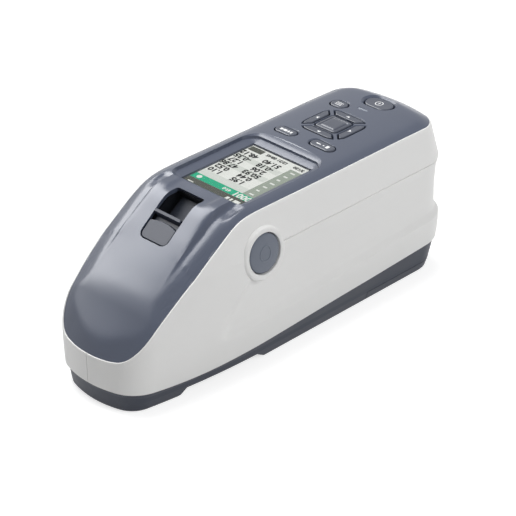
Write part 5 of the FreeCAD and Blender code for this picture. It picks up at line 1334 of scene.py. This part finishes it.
@dataclass
class Display:
    """Screen with its picture under a clear window."""

    half: Flat = (20.7, 26.2)
    centre_y: float = -4.6
    window_low: float = 86.35
    window_top: float = 86.9
    face: float = 85.93

    def build(self) -> list[bpy.types.Object]:
        """Makes the window, the picture's plates and its numbers."""
        half = self.half
        levels = ((0.0, self.window_low), (0.0, self.window_top - 0.12), (-0.12, self.window_top))
        window = loft("clear_window", level_loops(
            lambda m: rounded_rectangle((0.0, self.centre_y), (half[0] + m, half[1] + m), 0.6, 3), levels))
        smooth(window, 30.0)
        made = [hand_over(window, SCREEN_GLASS, "housing", "screen_glass", "display_window")]
        made.append(self.plates("screen_white", SCREEN_WHITE, 0.0, [(-20.5, 20.5, -30.6, 21.4)]))
        made.append(self.plates("screen_grey", SCREEN_GREY, 0.03, [
            (-20.5, 12.0, -19.9, -14.6), (-20.5, 11.2, 5.6, 10.2), (-20.5, 11.2, -4.6, 0.2)]))
        made.append(self.plates("screen_sage", SCREEN_SAGE, 0.05, [(12.0, 20.5, -19.9, 15.6)]))
        made.append(self.plates("screen_green", SCREEN_GREEN, 0.06, [(-20.5, 20.5, -25.0, -20.0)]))
        made.append(self.plates("screen_olive", SCREEN_OLIVE, 0.06, [
            (-20.0, -10.5, 16.4, 20.6), (-20.5, 20.5, -30.6, -25.1)]))
        made.append(self.plates("screen_light", SCREEN_WHITE, 0.10, self.light_places()))
        made.append(self.dots())
        made.append(self.numbers())
        made.append(self.white_words())
        return made

    def light_places(self) -> list[tuple[float, float, float, float]]:
        """Places of the small white marks."""
        places = [(9.0, 11.0, -29.8, -27.4), (12.0, 13.4, -29.8, -27.4), (14.6, 18.6, -29.8, -27.4),
                  (-18.0, -14.0, -29.4, -28.6)]
        for row in range(7):
            y = 12.6 - 5.0 * row
            places.append((14.6, 17.6 - 0.4 * (row % 3), y - 0.55, y + 0.55))
        return places

    def plates(self, name: str, finish: Finish, lift: float,
               places: Sequence[tuple[float, float, float, float]]) -> bpy.types.Object:
        """Thin plates of the picture.

        Args:
            name: Name of the piece.
            finish: Its finish.
            lift: Height over the picture's ground.
            places: Lowest and highest X, then lowest and highest Y, of each plate.

        Returns:
            The piece.
        """
        pieces = []
        for x0, x1, y0, y1 in places:
            outline = rounded_rectangle(((x0 + x1) / 2, (y0 + y1) / 2), ((x1 - x0) / 2, (y1 - y0) / 2), 0.15, 2)
            low, high = self.face + lift - 0.02, self.face + lift + 0.015
            pieces.append(loft("plate", [[(x, y, z) for x, y in outline] for z in (low, high)]))
        return hand_over(joined(name, pieces), finish, "housing", "screen_panel")

    def dots(self) -> bpy.types.Object:
        """Round white sign on the green bar."""
        loops = [[(-16.2 + a, -22.5 + b, self.face + z) for a, b in circle(1.55, 28)] for z in (0.06, 0.11)]
        return hand_over(loft("screen_dot", loops), SCREEN_WHITE, "housing", "screen_panel")

    def words(self, lines: Sequence[tuple[str, float, float, float]], lift: float) -> list[bpy.types.Object]:
        """Figures as thin meshes that read upright from the rear.

        Args:
            lines: Text, X and Y of its middle, and its height.
            lift: Height over the picture's ground.

        Returns:
            The meshes.
        """
        pieces = []
        for body, x, y, size in lines:
            deselect()
            bpy.ops.object.text_add(location=(0, 0, 0))
            text = bpy.context.object
            text.data.body = body
            text.data.size = size * MM * 1.42
            text.data.offset = 0.055 * size * MM
            text.data.align_x = "CENTER"
            text.data.align_y = "CENTER"
            text.data.extrude = 0.01 * MM
            text.data.resolution_u = 2
            choose(text)
            bpy.ops.object.convert(target="MESH")
            piece = bpy.context.object
            turn = Matrix.Rotation(math.pi, 4, "Z")
            moved(piece, Matrix.Translation(Vector((x, y, self.face + lift))) @ turn)
            pieces.append(piece)
        return pieces

    def numbers(self) -> bpy.types.Object:
        """Dark figures of the picture."""
        left = ("48.12", "-0.35", "1.27", "47.86", "0.52", "1.10")
        right = ("51.40", "-0.18", "2.06", "50.93", "0.44", "1.95")
        lines = []
        for row, (first, second) in enumerate(zip(left, right)):
            y = 12.9 - 5.0 * row
            lines.append((first, -15.0, y, 3.7))
            lines.append((second, 1.0, y, 3.7))
        lines.append(("12/31 08:45", -0.6, 18.6, 2.2))
        lines.append(("3/120", 14.9, 18.6, 2.2))
        return hand_over(joined("screen_numbers", self.words(lines, 0.09)), SCREEN_INK, "housing", "screen_panel")

    def white_words(self) -> bpy.types.Object:
        """White figures on the green bar."""
        lines = [("0001", 14.6, -22.6, 4.2), ("45:0", 3.6, -22.4, 2.2)]
        return hand_over(joined("screen_title", self.words(lines, 0.1)), SCREEN_WHITE, "housing", "screen_panel")


@dataclass
class Studio:
    """Floor, light and camera."""

    azimuth: float = 44.3356
    elevation: float = 30.2505
    focal_pixels: float = 2380.0
    frame_pixels: float = 516.0
    sensor: float = 36.0
    target: Point = (63.9162, -61.6499, 86.7)
    distance: float = 1144.160

    def build(self) -> None:
        """Makes the whole studio."""
        scene = bpy.context.scene
        scene.view_settings.view_transform = "Standard"
        self.camera()
        self.floor()
        self.world()
        self.lamp("gloss_lamp", (-1.01, -0.15, 1.11), 1.25, 44.0, lights_matt=False)
        self.lamp("top_lamp", (-0.42, -0.05, 1.40), 0.90, 16.0)
        self.lamp("side_lamp", (1.22, 0.26, 0.92), 0.60, 8.4)

    def camera(self) -> None:
        """Camera at the picture's viewing angle."""
        azimuth, elevation = math.radians(self.azimuth), math.radians(self.elevation)
        back = Vector((math.sin(azimuth) * math.cos(elevation), -math.cos(azimuth) * math.cos(elevation),
                       math.sin(elevation)))
        lens = bpy.data.cameras.new("camera")
        lens.sensor_width = self.sensor
        lens.lens = self.focal_pixels / self.frame_pixels * self.sensor
        lens.clip_start = 0.01
        camera = bpy.data.objects.new("camera", lens)
        bpy.context.scene.collection.objects.link(camera)
        camera.location = (Vector(self.target) + back * self.distance) * MM
        camera.rotation_euler = (math.pi / 2 - elevation, 0.0, azimuth)
        bpy.context.scene.camera = camera

    def floor(self) -> None:
        """Pale floor that shows white to the camera and keeps the shadow."""
        deselect()
        bpy.ops.mesh.primitive_plane_add(size=12.0)
        floor = bpy.context.object
        floor.name = "floor"
        material = bpy.data.materials.new("pale_floor")
        material.use_nodes = True
        tree = material.node_tree
        tree.nodes.clear()
        output = tree.nodes.new("ShaderNodeOutputMaterial")
        add = tree.nodes.new("ShaderNodeAddShader")
        matt = tree.nodes.new("ShaderNodeBsdfDiffuse")
        matt.inputs["Color"].default_value = (0.60, 0.60, 0.60, 1.0)
        glow = tree.nodes.new("ShaderNodeEmission")
        tree.links.new(self.seen(tree, 0.70), glow.inputs["Strength"])
        tree.links.new(matt.outputs[0], add.inputs[0])
        tree.links.new(glow.outputs[0], add.inputs[1])
        tree.links.new(add.outputs[0], output.inputs["Surface"])
        floor.data.materials.append(material)

    @staticmethod
    def seen(tree: bpy.types.NodeTree, amount: float) -> bpy.types.NodeSocket:
        """Amount for rays that the camera, a gloss or a glass sends, else nothing."""
        path = tree.nodes.new("ShaderNodeLightPath")
        first = tree.nodes.new("ShaderNodeMath")
        first.operation = "MAXIMUM"
        second = tree.nodes.new("ShaderNodeMath")
        second.operation = "MAXIMUM"
        scale = tree.nodes.new("ShaderNodeMath")
        scale.operation = "MULTIPLY"
        scale.inputs[1].default_value = amount
        tree.links.new(path.outputs["Is Camera Ray"], first.inputs[0])
        tree.links.new(path.outputs["Is Glossy Ray"], first.inputs[1])
        tree.links.new(first.outputs[0], second.inputs[0])
        tree.links.new(path.outputs["Is Transmission Ray"], second.inputs[1])
        tree.links.new(second.outputs[0], scale.inputs[0])
        return scale.outputs[0]

    def world(self) -> None:
        """Even light from all round, white to the camera."""
        world = bpy.data.worlds.new("studio")
        bpy.context.scene.world = world
        world.use_nodes = True
        tree = world.node_tree
        background = tree.nodes["Background"]
        background.inputs["Color"].default_value = (1.0, 1.0, 1.0, 1.0)
        add = tree.nodes.new("ShaderNodeMath")
        add.operation = "ADD"
        add.inputs[1].default_value = 0.25
        tree.links.new(self.seen(tree, 0.75), add.inputs[0])
        tree.links.new(add.outputs[0], background.inputs["Strength"])

    @staticmethod
    def lamp(name: str, place: Point, size: float, power: float, lights_matt: bool = True) -> None:
        """Soft square lamp that faces the body, in gloss alone or on matt surfaces too."""
        light = bpy.data.lights.new(name, "AREA")
        light.shape = "SQUARE"
        light.size = size
        light.energy = power
        lamp = bpy.data.objects.new(name, light)
        bpy.context.scene.collection.objects.link(lamp)
        lamp.visible_diffuse = lights_matt
        lamp.visible_glossy = not lights_matt
        lamp.location = place
        lamp.rotation_euler = (Vector(place) - Vector((0.0, 0.0, 0.05))).to_track_quat("Z", "Y").to_euler()


def dress_carried(nodes: dict[str, bpy.types.Object]) -> None:
    """Gives every solid that stays in sight or inside its finish."""
    for name, finish in CARRIED.items():
        solid = nodes[name]
        solid.data.materials.clear()
        solid.data.materials.append(finish.material())
        LOG.info("%s keeps its solid with finish %s", name, finish.name)


def main() -> None:
    logging.basicConfig(level=logging.INFO, format="%(message)s")
    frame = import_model()
    form = BodyForm()
    Studio().build()
    dress_carried(frame["nodes"])
    pad = KeyPad(form)
    viewer = Viewer(form)
    button = MeasureButton()
    TopCover(form, pad, viewer).build()
    SideCovers(form, button).build()
    BaseBand(form).build()
    button.build()
    pad.build()
    viewer.build()
    Display().build()
    deselect()


if __name__ == "__main__":
    main()
